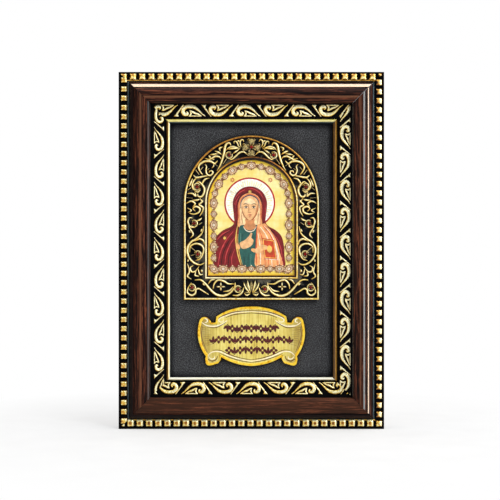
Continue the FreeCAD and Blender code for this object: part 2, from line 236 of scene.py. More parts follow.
class Form:
    """Points and faces of a piece, gathered in its own frame before it is made."""

    def __init__(self, place=on_front, shift=0.0, tone=0.0):
        self.place = place
        self.shift = shift
        # The tone is added to every relief value; the studs and carved bands use it to paint light and shade
        # rail by rail.
        self.tone = tone
        self.points = []
        self.lay = []
        self.marks = []
        self.faces = []
        self.finishes = []

    def ring(self, rows, mark=0.5):
        """Add a row of points, with one relief value or one for each."""
        start = len(self.points)
        marks = mark if isinstance(mark, list) else [mark] * len(rows)
        for row, value in zip(rows, marks):
            self.points.append([length * MM for length in self.place(*row)])
            self.lay.extend(((row[0] + self.shift) * MM, row[1] * MM, row[2] * MM))
            self.marks.append(value + self.tone)
        return list(range(start, start + len(rows)))

    def join(self, first, second, finish=0):
        """Faces between two rows with as many points."""
        count = len(first)
        for index in range(count):
            after = (index + 1) % count
            self.faces.append((first[index], first[after], second[after], second[index]))
            self.finishes.append(finish if isinstance(finish, int) else finish[index])

    def cap(self, ring, finish=0):
        """One face inside a row of points."""
        self.faces.append(tuple(ring))
        self.finishes.append(finish)

    def stack(self, rings, finish=0, cap_finish=None):
        """Join rows one after another and close both ends."""
        for low, high in zip(rings, rings[1:]):
            self.join(low, high, finish)
        self.cap(rings[0], finish if isinstance(finish, int) else 0)
        self.cap(rings[-1], finish if cap_finish is None else cap_finish)

    def mesh(self, name, finishes, sharp=40.0, cuts=()):
        """Mesh of what was gathered, cut at planes."""
        mesh = bpy.data.meshes.new(name)
        mesh.from_pydata(self.points, [], self.faces)
        mesh.polygons.foreach_set("material_index", self.finishes)
        mesh.attributes.new("relief", "FLOAT", "POINT").data.foreach_set("value", self.marks)
        mesh.attributes.new("lay", "FLOAT_VECTOR", "POINT").data.foreach_set("vector", self.lay)
        for finish in finishes:
            mesh.materials.append(finish)
        shell = bmesh.new()
        shell.from_mesh(mesh)
        for corner, direction in cuts:
            trim(shell, corner, direction)
        bmesh.ops.recalc_face_normals(shell, faces=shell.faces[:])
        for face in shell.faces:
            face.smooth = True
        for edge in shell.edges:
            if len(edge.link_faces) == 2 and edge.calc_face_angle(0.0) > math.radians(sharp):
                edge.smooth = False
        shell.to_mesh(mesh)
        shell.free()
        return mesh

    def make(self, name, finishes, body="root", replaces=(), sharp=40.0, cuts=()):
        """Turn what was gathered into an object that rides on a body."""
        piece = add(name, self.mesh(name, finishes, sharp, cuts))
        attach(piece, body)
        if replaces:
            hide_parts(*replaces)


def trim(shell, corner, direction):
    """Cut a mesh at a plane, drop what lies beyond it and close the cut."""
    everything = shell.verts[:] + shell.edges[:] + shell.faces[:]
    cut = bmesh.ops.bisect_plane(shell, geom=everything, dist=1e-7, plane_co=corner, plane_no=direction,
                                 clear_outer=True)
    rims = [item for item in cut["geom_cut"] if isinstance(item, bmesh.types.BMEdge)]
    if rims:
        bmesh.ops.holes_fill(shell, edges=rims, sides=0)


def mitre_cuts(place, length):
    """The two planes at which a rail ends."""
    gap = 0.03
    zero = Vector(place(0, 0, 0))
    along = Vector(place(1, 0, 0)) - zero
    inward = Vector(place(0, 1, 0)) - zero
    cuts = []
    for end in (-1, 1):
        corner = Vector(place(end * (length / 2 - gap), 0, 0)) * MM
        cuts.append((corner, (along * end + inward).normalized()))
    return cuts


def smooth_line(rows, step, closed=False):
    """Rows of numbers along a smooth line through the given rows."""
    count = len(rows)
    out = []
    for index in range(count if closed else count - 1):
        here = rows[index]
        after = rows[(index + 1) % count]
        before = rows[index - 1] if closed or index else here
        beyond = rows[(index + 2) % count] if closed or index + 2 < count else after
        parts = max(1, round(math.dist(here[:2], after[:2]) / step))
        for part in range(parts):
            t = part / parts
            out.append([0.5 * (2 * q + (r - p) * t + (2 * p - 5 * q + 4 * r - s) * t * t
                               + (3 * q - p - 3 * r + s) * t ** 3)
                        for p, q, r, s in zip(before, here, after, beyond)])
    if not closed:
        out.append(list(rows[-1]))
    return out


def height_at(ground, x, z):
    """Height of a ground that is flat at a number or follows the place."""
    return ground(x, z) if callable(ground) else ground


def ridge(form, route, height, ground, step=0.4, sides=7, sink=0.25, finish=0):
    """Rounded ridge with round ends, along a smooth line of places and half widths."""
    line = smooth_line(route, step)
    full = max(row[2] for row in line)
    last = len(line) - 1
    rings = []

    def across(x, z, normal, half, crest):
        base = height_at(ground, x, z)
        rows = []
        marks = []
        for index in range(sides):
            turn = math.pi * index / (sides - 1)
            side = half * math.cos(turn)
            rise = math.sin(turn) ** 0.85 * crest if 0 < index < sides - 1 else -sink
            rows.append((x + normal[0] * side, z + normal[1] * side, base + rise))
            marks.append(min(1.0, math.sin(turn) * (0.55 + 0.45 * crest / height)))
        rings.append(form.ring(rows, marks))

    for index, (x, z, half) in enumerate(line):
        low, high = line[max(index - 1, 0)], line[min(index + 1, last)]
        run = math.dist(low[:2], high[:2]) or 1.0
        way = ((high[0] - low[0]) / run, (high[1] - low[1]) / run)
        crest = height * max(0.3, half / full) ** 0.7
        for degrees in {0: (-75, -50, -25, 0), last: (0, 25, 50, 75)}.get(index, (0,)):
            out = half * math.sin(math.radians(degrees))
            share = math.cos(math.radians(degrees))
            across(x + way[0] * out, z + way[1] * out, (-way[1], way[0]), half * share, crest * share ** 0.7)
    form.stack(rings, finish)


def swelling(points, width, start=0.35, end=0.35):
    """Places with half widths that swell towards the middle of the line."""
    last = len(points) - 1
    rows = []
    for index, (x, z) in enumerate(points):
        t = index / last
        ends = start * (1 - t) + end * t
        rows.append((x, z, width / 2 * (ends + (1 - ends) * math.sin(math.pi * t) ** 0.8)))
    return rows


def mound(form, outline, height, ground, sink=0.25, finish=0):
    """Domed shape inside a closed outline, such as a petal or a leaf."""
    middle_x, middle_z = (sum(values) / len(outline) for values in zip(*outline))
    base = height_at(ground, middle_x, middle_z)
    rings = [form.ring([(x, z, base - sink) for x, z in outline], 0.0)]
    for share in (1.0, 0.93, 0.78, 0.55, 0.3):
        rise = height * math.sqrt(1 - share * share) if share < 1 else 0.1 * height
        rows = [(middle_x + (x - middle_x) * share, middle_z + (z - middle_z) * share, base + rise)
                for x, z in outline]
        rings.append(form.ring(rows, min(1.0, 0.3 + 0.7 * rise / height)))
    form.stack(rings, finish)


def sheet_of(form, outline, top, bottom, finish=0):
    """Thin flat layer inside a closed outline."""
    low = form.ring([(x, z, bottom) for x, z in outline], 0.0)
    high = form.ring([(x, z, top) for x, z in outline], 1.0)
    form.join(low, high, finish)
    form.cap(high, finish)
    form.cap(low, finish)


def oval(x, z, half_x, half_z, count, turn=0.0):
    """Closed outline of an oval, turned by an angle."""
    out = []
    for index in range(count):
        angle = 2 * math.pi * index / count
        a = half_x * math.cos(angle)
        b = half_z * math.sin(angle)
        out.append((x + a * math.cos(turn) - b * math.sin(turn), z + a * math.sin(turn) + b * math.cos(turn)))
    return out


def circle(x, z, radius, count, turn=0.0):
    """Closed outline of a circle, turned by an angle."""
    return oval(x, z, radius, radius, count, turn)


def arc(x, z, radius, first, last, parts):
    """Places along an arc, from one angle in degrees to another."""
    turns = [math.radians(first + (last - first) * index / parts) for index in range(parts + 1)]
    return [(x + radius * math.cos(turn), z + radius * math.sin(turn)) for turn in turns]


def turned(form, x, z, profile, sides):
    """Shape turned about an axis square to the frame: rows of radius, height and perhaps relief value."""
    rings = []
    for radius, height, *mark in profile:
        rings.append(form.ring([(*point, height) for point in circle(x, z, radius, sides)], *mark or (0.8,)))
    form.stack(rings)


def bow(rows, end, share, parts, kind):
    """Add points of an arc to a profile, up to its end, that stands off its chord."""
    start = rows[-1]
    run, rise = end[0] - start[0], end[1] - start[1]
    for index in range(1, parts + 1):
        t = index / parts
        out = share * 4 * t * (1 - t)
        rows.append((start[0] + run * t - rise * out, start[1] + rise * t + run * out, kind))


def arch_rows(half, sill, height):
    """Closed row of points round an arch: sill, right side, arc, left side."""
    flat, upright, curve = 20, 18, 72
    rise = SPRING - sill
    rows = [(2 * half * index / flat - half, sill) for index in range(flat)]
    rows += [(half, sill + rise * index / upright) for index in range(upright)]
    rows += arc(0, SPRING, half, 0, 180, curve)[:-1]
    rows += [(-half, SPRING - rise * index / upright) for index in range(upright)]
    return [(x, z, height) for x, z in rows]


# Sizes and colours

def length_of(name, description, default):
    """Length property in metres, given in millimetres."""
    return FloatProperty(name=name, description=description, default=default * MM, min=0.0, precision=5,
                         unit="LENGTH")


def colour_of(name, description, red, green, blue):
    """Colour property that holds a shade as a screen shows it."""
    shade_shown = (red / 255, green / 255, blue / 255)
    return FloatVectorProperty(name=name, description=description, default=shade_shown, min=0.0, max=1.0,
                               size=3, subtype="COLOR_GAMMA")


class MouldingSettings(bpy.types.PropertyGroup):
    stud_height: length_of("Stud height", "How far a stud stands out of its channel", 1.6)
    stud_pitch: length_of("Stud pitch", "Distance from one stud to the next", 5.03)
    scroll_relief: length_of("Scroll relief", "Height of the carved scrolls on the inner slope", 0.8)
    mitre_gap: length_of("Mitre gap", "Hairline left open at each mitre", 0.04)


class PlaqueSettings(bpy.types.PropertyGroup):
    vine_relief: length_of("Vine relief", "Height of the vines above the plaque's ground", 0.95)
    vine_width: length_of("Vine width", "Full width of an average vine", 1.1)
    medallion_pitch: length_of("Medallion pitch", "Distance between the printed medallions", 5.7)


class ColourSettings(bpy.types.PropertyGroup):
    mahogany_dark: colour_of("Mahogany dark", "Dark bands of the moulding's grain", 24, 11, 8)
    mahogany_light: colour_of("Mahogany light", "Light bands of the moulding's grain", 96, 53, 37)
    gold_deep: colour_of("Gold in the hollows", "Patina between the gilt ornaments", 40, 24, 8)
    gold: colour_of("Gold", "Gilt ornaments", 224, 166, 62)
    # Gold on the crests, partly wear and partly a painted highlight.
    gold_bright: colour_of("Rubbed gold", "Crests where the gilding is rubbed bright", 255, 226, 110)
    suede: colour_of("Suede", "Mat board behind the plaque", 53, 54, 56)
    panel_gold: colour_of("Panel gold", "Printed gold ground of the picture", 253, 236, 150)
    mantle: colour_of("Mantle", "Mantle of the painted figure", 122, 20, 24)


class StageSettings(bpy.types.PropertyGroup):
    lens: FloatProperty(name="Lens", description="Focal length in millimetres", default=100.0, min=10.0)
    distance: FloatProperty(name="Distance", description="From the camera to the frame's front",
                            default=0.7581, min=0.1, unit="LENGTH")
    key_power: FloatProperty(name="Key light", description="Power of the light above and to the right",
                             default=7.5, min=0.0, unit="POWER")
    world_level: FloatProperty(name="World level", description="Strength of the even light all round",
                               default=0.26, min=0.0)


def settings():
    """The scene's settings for this object."""
    return bpy.context.scene.icon_settings


class IconSettings(bpy.types.PropertyGroup):
    moulding: PointerProperty(type=MouldingSettings, name="Moulding", description="Sizes of the four rails")
    plaque: PointerProperty(type=PlaqueSettings, name="Plaque", description="Sizes of the plaque's ornament")
    colours: PointerProperty(type=ColourSettings, name="Colours", description="Finishes of the object")
    stage: PointerProperty(type=StageSettings, name="Stage", description="Camera and light")


# Finishes

made_finishes = {}


def finish(maker, *choice):
    """A material that is made once and shared after that."""
    key = (maker.__name__, *choice)
    if key not in made_finishes:
        made_finishes[key] = maker(*choice)
    return made_finishes[key]


def black_lacquer():
    """Deep black lacquer of the channels, with faint brush marks and a painted grey-blue highlight where the
    relief value is high.
    """
    f = Finish("black_lacquer", specular_ior_level=0.04)
    grain = f.noise(f.lay(60, 900, 900), 3.0, 4.0)
    dust = f.noise(f.lay(900, 900, 900), 1.4, 2.0)
    colour = f.ramp(dust, (0.4, 1, 1, 2), (0.8, 8, 9, 12))
    # Painted highlight: grey-blue lines on the black, placed by each rail's painted light lines.
    colour = f.tint(colour, f.relief(), 0.55, 1.0, 0.8, 100, 116, 122)
    return f.wear(colour, f.span(grain, 0.42, 0.6), f.bump(grain, 0.00003, 0.4))


def mahogany(look):
    """Dark red-brown wood whose grain runs along the rail: satin, polished, or a darker copy that is painted
    shade.
    """
    coat = {"coat_weight": 0.12, "coat_roughness": 0.1, "coat_ior": 2.0} if look == "polished" else {}
    f = Finish("mahogany_" + look, specular_ior_level=0.08, **coat)
    waves = f.noise(f.lay(14, 420, 420), 1.8, 6.0, 0.68, 0.4)
    streaks = f.noise(f.lay(48, 1150, 1150), 1.0, 3.0, 0.6)
    flecks = f.noise(f.lay(90, 1700, 1700), 1.0, 3.0, 0.7)
    pores = f.noise(f.lay(420, 5200, 5200), 1.0, 2.0, 0.6)
    # The darker copy is painted shade, used on the shoulders of the left and bottom rails.
    if look == "shaded":
        base = f.ramp(waves, (0.36, 10, 6, 6), (0.5, 27, 14, 12), (0.64, 50, 27, 22))
    else:
        base = f.ramp(waves, (0.38, "mahogany_dark"), (0.5, 56, 27, 18), (0.62, "mahogany_light"))
        base = f.tint(base, streaks, 0.53, 0.65, 0.8, 132, 72, 48)
        base = f.tint(base, streaks, 0.47, 0.36, 0.88, 18, 8, 7)
    base = f.tint(base, flecks, 0.46, 0.57, 0.9, 12, 6, 6)
    base = f.tint(base, pores, 0.55, 0.66, 0.8, 9, 5, 5)
    # Painted highlight: the wood is lighter where the relief value is high.
    base = f.tint(base, f.relief(), 0.55, 1.0, 0.75, 116, 76, 54)
    # Painted highlights: pale lines, from near white to grey, where the relief value is low.
    painted_highlight = f.ramp(f.relief(), (0.07, 244, 214, 184), (0.16, 132, 134, 134))
    base = f.tint(base, f.relief(), 0.4, 0.2, 0.96, painted_highlight)
    normal = f.bump(pores, 0.00005, 0.15 if look == "polished" else 0.35)
    return f.wear(base, f.span(waves, 0.36, 0.5), normal)


def gilding(name, deep, mid, top, metal, rough, glint=0.6, painted_shade_depth=0.3):
    """Gold leaf over black: dark in the hollows, bright on the crests, partly as wear and partly as a painted
    highlight.

    The first three numbers say where on the relief the gold is deep, middling and bright, and the last
    one how much painted shade darkens what faces down and to the left; what faces up and right is painted
    lighter.
    """
    f = Finish(name, metallic=metal, specular_ior_level=glint)
    mottle = f.noise(f.lay(), 900.0, 4.0, 0.6)
    fine = f.noise(f.lay(), 3200.0, 2.0, 0.6)
    toward_painted_light = f.node("VectorMath", {"operation": "DOT_PRODUCT"}, i0=f.node("TexCoord").outputs["Normal"],
                    i1=(0.78, 0.0, 0.62)).outputs["Value"]
    # Painted light: the gold is lighter where it faces up and to the right and darker where it faces away.
    tone = f.plus(f.plus(f.relief(), f.span(mottle, -0.16, 0.13)), f.grade(toward_painted_light, -0.75, 0.7, -painted_shade_depth, 0.26))
    colour = f.ramp(tone, (0.02, 3, 2, 2), (deep, "gold_deep"), (mid, 156, 92, 24),
                    (0.5 * (mid + top), "gold"), (top, "gold_bright"), (min(1.0, top + 0.3), 255, 250, 204))
    rougher = f.grade(mottle, 0.3, 0.75, rough - 0.08, rough + 0.16)
    return f.wear(colour, rougher, f.bump(fine, 0.00004, 0.5, f.bump(mottle, 0.00006, 0.35)))


def olive_bronze():
    """Dull olive bronze of the crowning rosette, lighter on its crests."""
    f = Finish("olive_bronze", metallic=0.45)
    mottle = f.noise(f.lay(), 1500.0, 4.0, 0.7)
    tone = f.plus(f.relief(), f.span(mottle, -0.25, 0.2))
    colour = f.ramp(tone, (0.15, 8, 7, 5), (0.5, 62, 52, 30), (0.85, 122, 106, 66), (1.0, 196, 176, 112))
    return f.wear(colour, f.span(mottle, 0.34, 0.52), f.bump(mottle, 0.00008, 0.6))


def lip_gold():
    """Smooth gilt bead at the sight edge, a little streaky along its length, with painted light and shade
    across it set rail by rail.
    """
    f = Finish("lip_gold", metallic=0.15)
    streak = f.noise(f.lay(150, 2400, 2400), 1.0, 4.0, 0.6)
    tone = f.plus(f.relief(), f.span(streak, -0.08, 0.08))
    colour = f.ramp(tone, (0.1, 62, 36, 10), (0.38, 168, 122, 46), (0.66, "gold"), (0.8, 255, 242, 126),
                    (1.0, 255, 254, 240))
    return f.wear(colour, f.span(streak, 0.2, 0.34), f.bump(streak, 0.00002, 0.4))


def bare_wood():
    """Unfinished pale wood at the back of the rails."""
    f = Finish("bare_wood", specular_ior_level=0.25)
    waves = f.noise(f.lay(9, 260, 260), 1.7, 6.0, 0.62, 0.5)
    fibres = f.noise(f.lay(160, 3600, 3600), 1.0, 3.0, 0.65)
    base = f.ramp(waves, (0.3, 178, 136, 92), (0.52, 201, 163, 116), (0.7, 216, 182, 138))
    base = f.tint(base, fibres, 0.52, 0.68, 0.55, 150, 108, 70)
    return f.wear(base, f.span(fibres, 0.62, 0.8), f.bump(fibres, 0.00012, 0.6))


def suede():
    """Charcoal suede board with a short nap, and painted shade in its nooks."""
    f = Finish("suede", roughness=0.95, specular_ior_level=0.12, sheen_weight=0.25, sheen_roughness=0.45)
    nap = f.noise(f.body(), 2600.0, 3.0, 0.7)
    cloud = f.noise(f.body(), 70.0, 4.0, 0.6)
    fine = f.noise(f.body(), 1900.0, 3.0, 0.8)
    tone = f.plus(f.span(cloud, -0.02, 0.02), fine)
    base = f.ramp(tone, (0.34, 10, 10, 12), (0.5, "suede"), (0.66, 104, 105, 108))
    # Painted shade: the board darkens where other parts stand close over it, near the rails, plaque and
    # plate.
    painted_nook_shade = f.node("AmbientOcclusion", {"samples": 12}, Distance=0.0035).outputs["AO"]
    base = f.tint(base, painted_nook_shade, 0.92, 0.45, 0.93, 5, 7, 14)
    return f.wear(base, None, f.bump(nap, 0.00018, 0.8, f.bump(fine, 0.0002, 0.4)))


def plaque_ground():
    """Blackened hollow ground of the cast plaque, with grey-olive metal showing through."""
    f = Finish("plaque_ground", metallic=0.1, specular_ior_level=0.06)
    patches = f.noise(f.body(), 230.0, 4.0, 0.6, 0.4)
    grit = f.noise(f.body(), 2400.0, 3.0, 0.6)
    # Lighter towards the foot of the inner rim, where it takes on the rims' painted shade towards the top and
    # the right.
    wear_and_painted_light = f.plus(patches, f.reckon("MULTIPLY", f.relief(), 0.2))
    colour = f.ramp(wear_and_painted_light, (0.46, 2, 3, 6), (0.6, 20, 21, 25), (0.74, 92, 88, 76))
    return f.wear(colour, f.span(grit, 0.42, 0.62), f.bump(grit, 0.00008, 0.6))


def panel_print():
    """Gold printed ground with a fine canvas weave, deeper towards the edges."""
    f = Finish("panel_print", metallic=0.08)
    along, over = (f.node("TexWave", {"wave_type": "BANDS", "bands_direction": way}, Vector=f.body(),
                          Scale=430.0, Distortion=0.6, Detail=1.0).outputs["Fac"] for way in "XZ")
    weave = f.reckon("MULTIPLY", along, over)
    cloud = f.noise(f.body(), 120.0, 3.0, 0.6)
    tone = f.plus(f.reckon("MULTIPLY", weave, 0.45), f.span(cloud, 0.0, 0.5))
    base = f.ramp(tone, (0.12, 244, 214, 104), (0.45, "panel_gold"), (0.85, 255, 250, 206))
    base = f.tint(base, f.relief(), 1.0, 0.0, 0.95, 255, 214, 18)
    return f.wear(base, f.grade(weave, 0.0, 1.0, 0.42, 0.3), f.bump(weave, 0.00003, 0.5))


def ink(name, *colour):
    """Printed colour on fine canvas, slightly uneven."""
    f = Finish("ink_" + name, specular_ior_level=0.4)
    tone = f.noise(f.body(), 420.0, 3.0, 0.6)
    grain = f.noise(f.body(), 2600.0, 2.0, 0.6)
    base = f.ramp(tone, (0.32, *scaled(colour, 0.88)), (0.5, *colour), (0.7, *scaled(colour, 1.12)))
    return f.wear(base, f.span(grain, 0.4, 0.55), f.bump(grain, 0.00002, 0.4))


def garnet():
    """Deep red cut glass."""
    f = Finish("garnet", roughness=0.06, specular_ior_level=0.4)
    flaw = f.noise(f.body(), 900.0, 2.0)
    return f.wear(f.ramp(flaw, (0.3, 48, 0, 4), (0.55, 112, 3, 8), (0.75, 170, 12, 16)))


def title_gold():
    """Parchment-coloured brass of the title plate, brushed upright and deeper at both ends."""
    f = Finish("title_gold", metallic=0.45)
    lines = f.noise(f.body(2600, 400, 60), 1.0, 3.0, 0.6)
    cloud = f.noise(f.body(), 160.0, 4.0, 0.6)
    brushed = f.weighed(lines, 0.6, cloud)
    base = f.ramp(brushed, (0.32, 184, 150, 58), (0.5, 238, 216, 108), (0.66, 255, 244, 156))
    across = f.reckon("ABSOLUTE", f.node("SeparateXYZ", Vector=f.body()).outputs["X"])
    base = f.tint(base, across, 0.018, 0.0285, 0.62, 120, 76, 30)
    return f.wear(base, f.span(lines, 0.3, 0.44), f.bump(lines, 0.00002, 0.5))


def title_rim():
    """Bright yellow gilt border of the title plate."""
    f = Finish("title_rim", metallic=0.3)
    tone = f.noise(f.body(), 500.0, 4.0, 0.6)
    fine = f.noise(f.body(), 2600.0, 2.0, 0.6)
    base = f.ramp(tone, (0.3, 240, 164, 18), (0.5, 255, 208, 42), (0.72, 255, 232, 96))
    return f.wear(base, f.span(tone, 0.24, 0.36), f.bump(fine, 0.00003, 0.5))


def hardboard():
    """Brown pressed fibre board at the back."""
    f = Finish("hardboard", specular_ior_level=0.3)
    fibres = f.noise(f.body(), 900.0, 6.0, 0.75, 0.8)
    cloud = f.noise(f.body(), 90.0, 4.0, 0.6)
    base = f.ramp(f.weighed(fibres, 0.6, cloud), (0.34, 84, 54, 34), (0.5, 114, 78, 50), (0.66, 142, 104, 70))
    return f.wear(base, f.span(fibres, 0.5, 0.68), f.bump(fibres, 0.00012, 0.6))


def plain_metal(name, rough, metal, *colour):
    """Plated sheet metal with fine rolling marks and a few dull spots."""
    f = Finish(name, metallic=metal)
    rolled = f.noise(f.body(300, 300, 2600), 1.0, 3.0, 0.6)
    spots = f.noise(f.body(), 420.0, 4.0, 0.6)
    base = f.ramp(f.weighed(rolled, 0.5, spots), (0.32, *scaled(colour, 0.75)), (0.5, *colour),
                  (0.7, *scaled(colour, 1.15)))
    return f.wear(base, f.span(spots, rough - 0.06, rough + 0.12), f.bump(rolled, 0.00003, 0.4))


def foam_tape():
    """Dark closed-cell foam."""
    f = Finish("foam_tape", roughness=0.9, specular_ior_level=0.2)
    cells = f.node("TexVoronoi", Vector=f.body(), Scale=2400.0).outputs["Distance"]
    return f.wear(f.ramp(cells, (0.1, 22, 22, 24), (0.7, 52, 52, 54)), None, f.bump(cells, 0.0001, 0.7))


def wear_node(name, material):
    """Give a CAD piece that stays its finish."""
    piece = nodes[name]
    if not piece.data.materials:
        piece.data.materials.append(material)
    for slot in piece.material_slots:
        slot.material = material


# Moulding

# Finishes of a rail, by their number in its list of materials
LACQUER, WOOD, GILT, BARE, SHOULDER = range(5)


def moulding_profile(lip_start, lip_end, bead, foot, step):
    """Section of a rail from its back outer corner round to the back: inwards, height, finish."""
    rows = [(0.0, 0.0, BARE), (0.0, 0.6, LACQUER), (0.0, 11.5, LACQUER)]
    bow(rows, (0.5, 12.0), 0.207, 4, LACQUER)
    rows += [(0.8, 12.0, LACQUER), (0.9, 11.9, LACQUER)]
    rows += [(d, CHANNEL, LACQUER) for d in (0.9, bead - 0.2, bead)]
    # Gilt bead on the top and bottom rails, black on the side rails, as suits the light each rail catches:
    # painted light and shade.
    bow(rows, (bead + 0.6, CHANNEL), 0.62, 6, GILT if bead < 4.9 else LACQUER)
    rows.append((max(5.8, bead + 0.65), CHANNEL, LACQUER))
    bow(rows, (step, 15.4), 0.16, 12, SHOULDER)
    # Below where its wood begins the shoulder is black; on the left and right rails that is painted shade.
    rows = [(d, h, LACQUER if kind == SHOULDER and d < foot else kind) for d, h, kind in rows]
    # The groove is black on the top and right rails and wood on the others: painted shade in the crease.
    groove = LACQUER if step > 8.5 else WOOD
    rows += [(step + 0.2, 14.95, groove), (step + 0.34, 14.95, groove), (step + 0.5, 15.4, groove)]
    bow(rows, (11.9, 16.95), 0.07, 8, WOOD)
    rows += [(12.05, 17.0, WOOD), (12.2, 16.98, WOOD)]
    bow(rows, (15.6, 16.6), 0.03, 12, WOOD)
    bow(rows, (SLOPE_START, 15.0), 0.207, 8, WOOD)
    rows += [(SLOPE_START, 14.2, WOOD), (SLOPE_START, CHANNEL, WOOD), (17.3, 11.38, LACQUER),
             (SLOPE_END, 9.6, LACQUER), (SLOPE_END, 8.6, LACQUER), (lip_start, 8.6, LACQUER),
             (lip_start, 8.9, GILT)]
    bow(rows, (lip_end, 8.9), 0.75 / (lip_end - lip_start), 12, GILT)
    rows += [(28.0, 8.7, LACQUER), (28.0, 5.2, LACQUER), (22.0, 5.2, BARE), (22.0, 0.0, BARE)]
    return rows


# Rail, its length, where its scroll pattern starts, the start and width of the carved band, how far
# its row of studs is moved along, where its gilt lip starts and ends, and the middle of its studs
# across the rail
RAILS = (("bottom", WIDTH, -8.5, 19.05, 6.2, -0.52, 26.5, 27.99, 3.35),
         ("top", WIDTH, 9.9, 18.0, 6.1, -0.69, 25.55, 27.05, 2.72),
         ("left", HEIGHT, -7.5, 19.35, 5.2, 2.5, 26.1, 27.8, 2.92),
         ("right", HEIGHT, -5.1, 18.4, 5.5, 1.12, 25.55, 27.65, 2.95))
# Half a stud along and across each rail, the share of it that is painted bright, past which its flank is
# painted dark as shade, and how much brighter it gets from its outer to its inner side, which is painted
# light
STUD_SIZES = {"bottom": (1.84, 1.95, 1.0, 0.0), "top": (1.8, 1.8, 1.0, 0.2), "left": (1.6, 1.75, 0.85, 0.0),
              "right": (1.84, 1.85, 0.8, -0.3)}
# Painted light along each rail: first and last place across it, and its value, from a pale painted highlight
# at 0 over plain wood at 0.5 to lighter wood at 1, also a painted highlight; on black lacquer high values
# paint a grey-blue line
PAINTED_LIGHT_LINES = {"top": ((4.3, 5.0, 0.64), (6.85, 8.65, 0.05), (13.6, 14.6, 1.0)),
          "left": ((4.95, 5.6, 0.95), (11.5, 12.8, 0.9), (16.1, 16.9, 0.34), (17.15, 17.25, 0.34)),
          "bottom": ((4.65, 5.4, 0.68), (9.1, 17.25, 0.66)),
          "right": ((5.5, 6.23, 1.0), (8.4, 9.2, 0.06), (10.75, 11.65, 0.18), (12.9, 13.7, 0.85),
                    (17.15, 17.25, 0.3))}
# Where the thin bead beside the studs lies, and where the shoulder's wood begins and ends. With them the
# rails get a gilt or black bead, a black foot on the shoulder and a black groove after it as suits the light
# on each: painted light and shade.
SHOULDERS = {"top": (4.35, 5.8, 8.6), "left": (5.0, 6.5, 8.4), "bottom": (4.7, 5.8, 8.4),
             "right": (5.55, 6.4, 9.15)}
# Painted light and shade of the gilt lip on each rail, from its outer side to the sight edge: 0 is dark gold,
# 1 near white
LIP_PAINTED_LIGHT = {"top": (0.72, 0.84, 0.86, 0.84), "bottom": (0.9, 1.0, 1.0, 1.0), "left": (0.3, 0.12, 0.86, 1.0),
             "right": (0.15, 0.45, 0.1, 0.2)}
# How much brighter or darker the gilding is painted on the studs and on the carved band of each rail, and
# how bright the middle of a stud is, all painted light and shade; last how wide the lines of the band are
GILT_TONES = {"bottom": (0.28, 0.16, 0.1, 1.24), "top": (-0.02, 0.34, 1.0, 1.3),
              "left": (0.16, 0.24, 0.5, 0.93), "right": (-0.02, 0.46, 1.0, 1.2)}


# Rings of a stud from its foot to its crown: share of its half size, and height as a share of the stud's
STUD_RINGS = ((1.0, -0.3), (1.0, 0.02), (0.97, 0.3), (0.9, 0.52), (0.84, 0.64), (0.76, 0.76), (0.56, 0.91),
              (0.34, 0.98), (0.12, 1.0))
# Ends of a rail, from its mitre inwards: distance, and how far the edge of the mitre is rounded down. Then
# the value of the painted highlight along the one mitre seam that is painted pale
MITRE_STEPS = ((0.0, 0.07), (0.1, 0.0), (0.2, 0.0))
MITRE_HIGHLIGHT = 0.19


class ICON_OT_rails(bpy.types.Operator):
    """Make the four mitred rails of the moulding"""
    bl_idname = "icon.make_rails"
    bl_label = "Rails"

    def execute(self, context):
        gap = settings().moulding.mitre_gap / MM
        for number, (side, length, *_, lip_start, lip_end, _) in enumerate(RAILS):
            profile = moulding_profile(lip_start, lip_end, *SHOULDERS[side])
            marks = [self.mark(side, d, kind, (d - lip_start) / (lip_end - lip_start))
                     for d, _, kind in profile]
            form = Form(rail_place(side), shift=700.0 * number)
            # The mitre seam at the top right corner is painted pale, a painted highlight.
            seam = {"top": -1, "right": 1}.get(side)
            rings = []
            for end, steps in ((-1, MITRE_STEPS), (1, MITRE_STEPS[::-1])):
                for back, drop in steps:
                    painted_highlight = end == seam and back < 0.2
                    rows = [(end * (length / 2 - d - gap - back), d, h - drop if h > 8 else h)
                            for d, h, _ in profile]
                    wear_and_painted_light = (WOOD, SHOULDER) if painted_highlight else ()
                    rings.append(form.ring(rows, [MITRE_HIGHLIGHT if row[2] in wear_and_painted_light else mark
                                                  for row, mark in zip(profile, marks)]))
            form.stack(rings, [row[2] for row in profile[1:] + profile[:1]], cap_finish=LACQUER)
            # The top rail's shoulder gets a polished coat, the right one satin, and the left and bottom ones
            # the darker copy of the wood that is painted shade.
            shoulder = {"top": "polished", "right": "satin"}.get(side, "shaded")
            looks = [finish(black_lacquer), finish(mahogany, "satin"), finish(lip_gold), finish(bare_wood),
                     finish(mahogany, shoulder)]
            form.make("moulding_" + side, looks, replaces=["rail_" + side], sharp=34)
        return {"FINISHED"}

    def mark(self, side, d, kind, share):
        """Relief value at a place across the rail: the painted light and shade of its lip, a painted light
        line or plain wood.
        """
        if kind == GILT and d > 10:
            share = min(max(share, 0.0), 1.0) * 2.999
            near = int(share)
            tones = LIP_PAINTED_LIGHT[side]
            return tones[near] + (share - near) * (tones[near + 1] - tones[near])
        return ([0.5] + [mark for start, end, mark in PAINTED_LIGHT_LINES[side] if start <= d <= end])[-1]


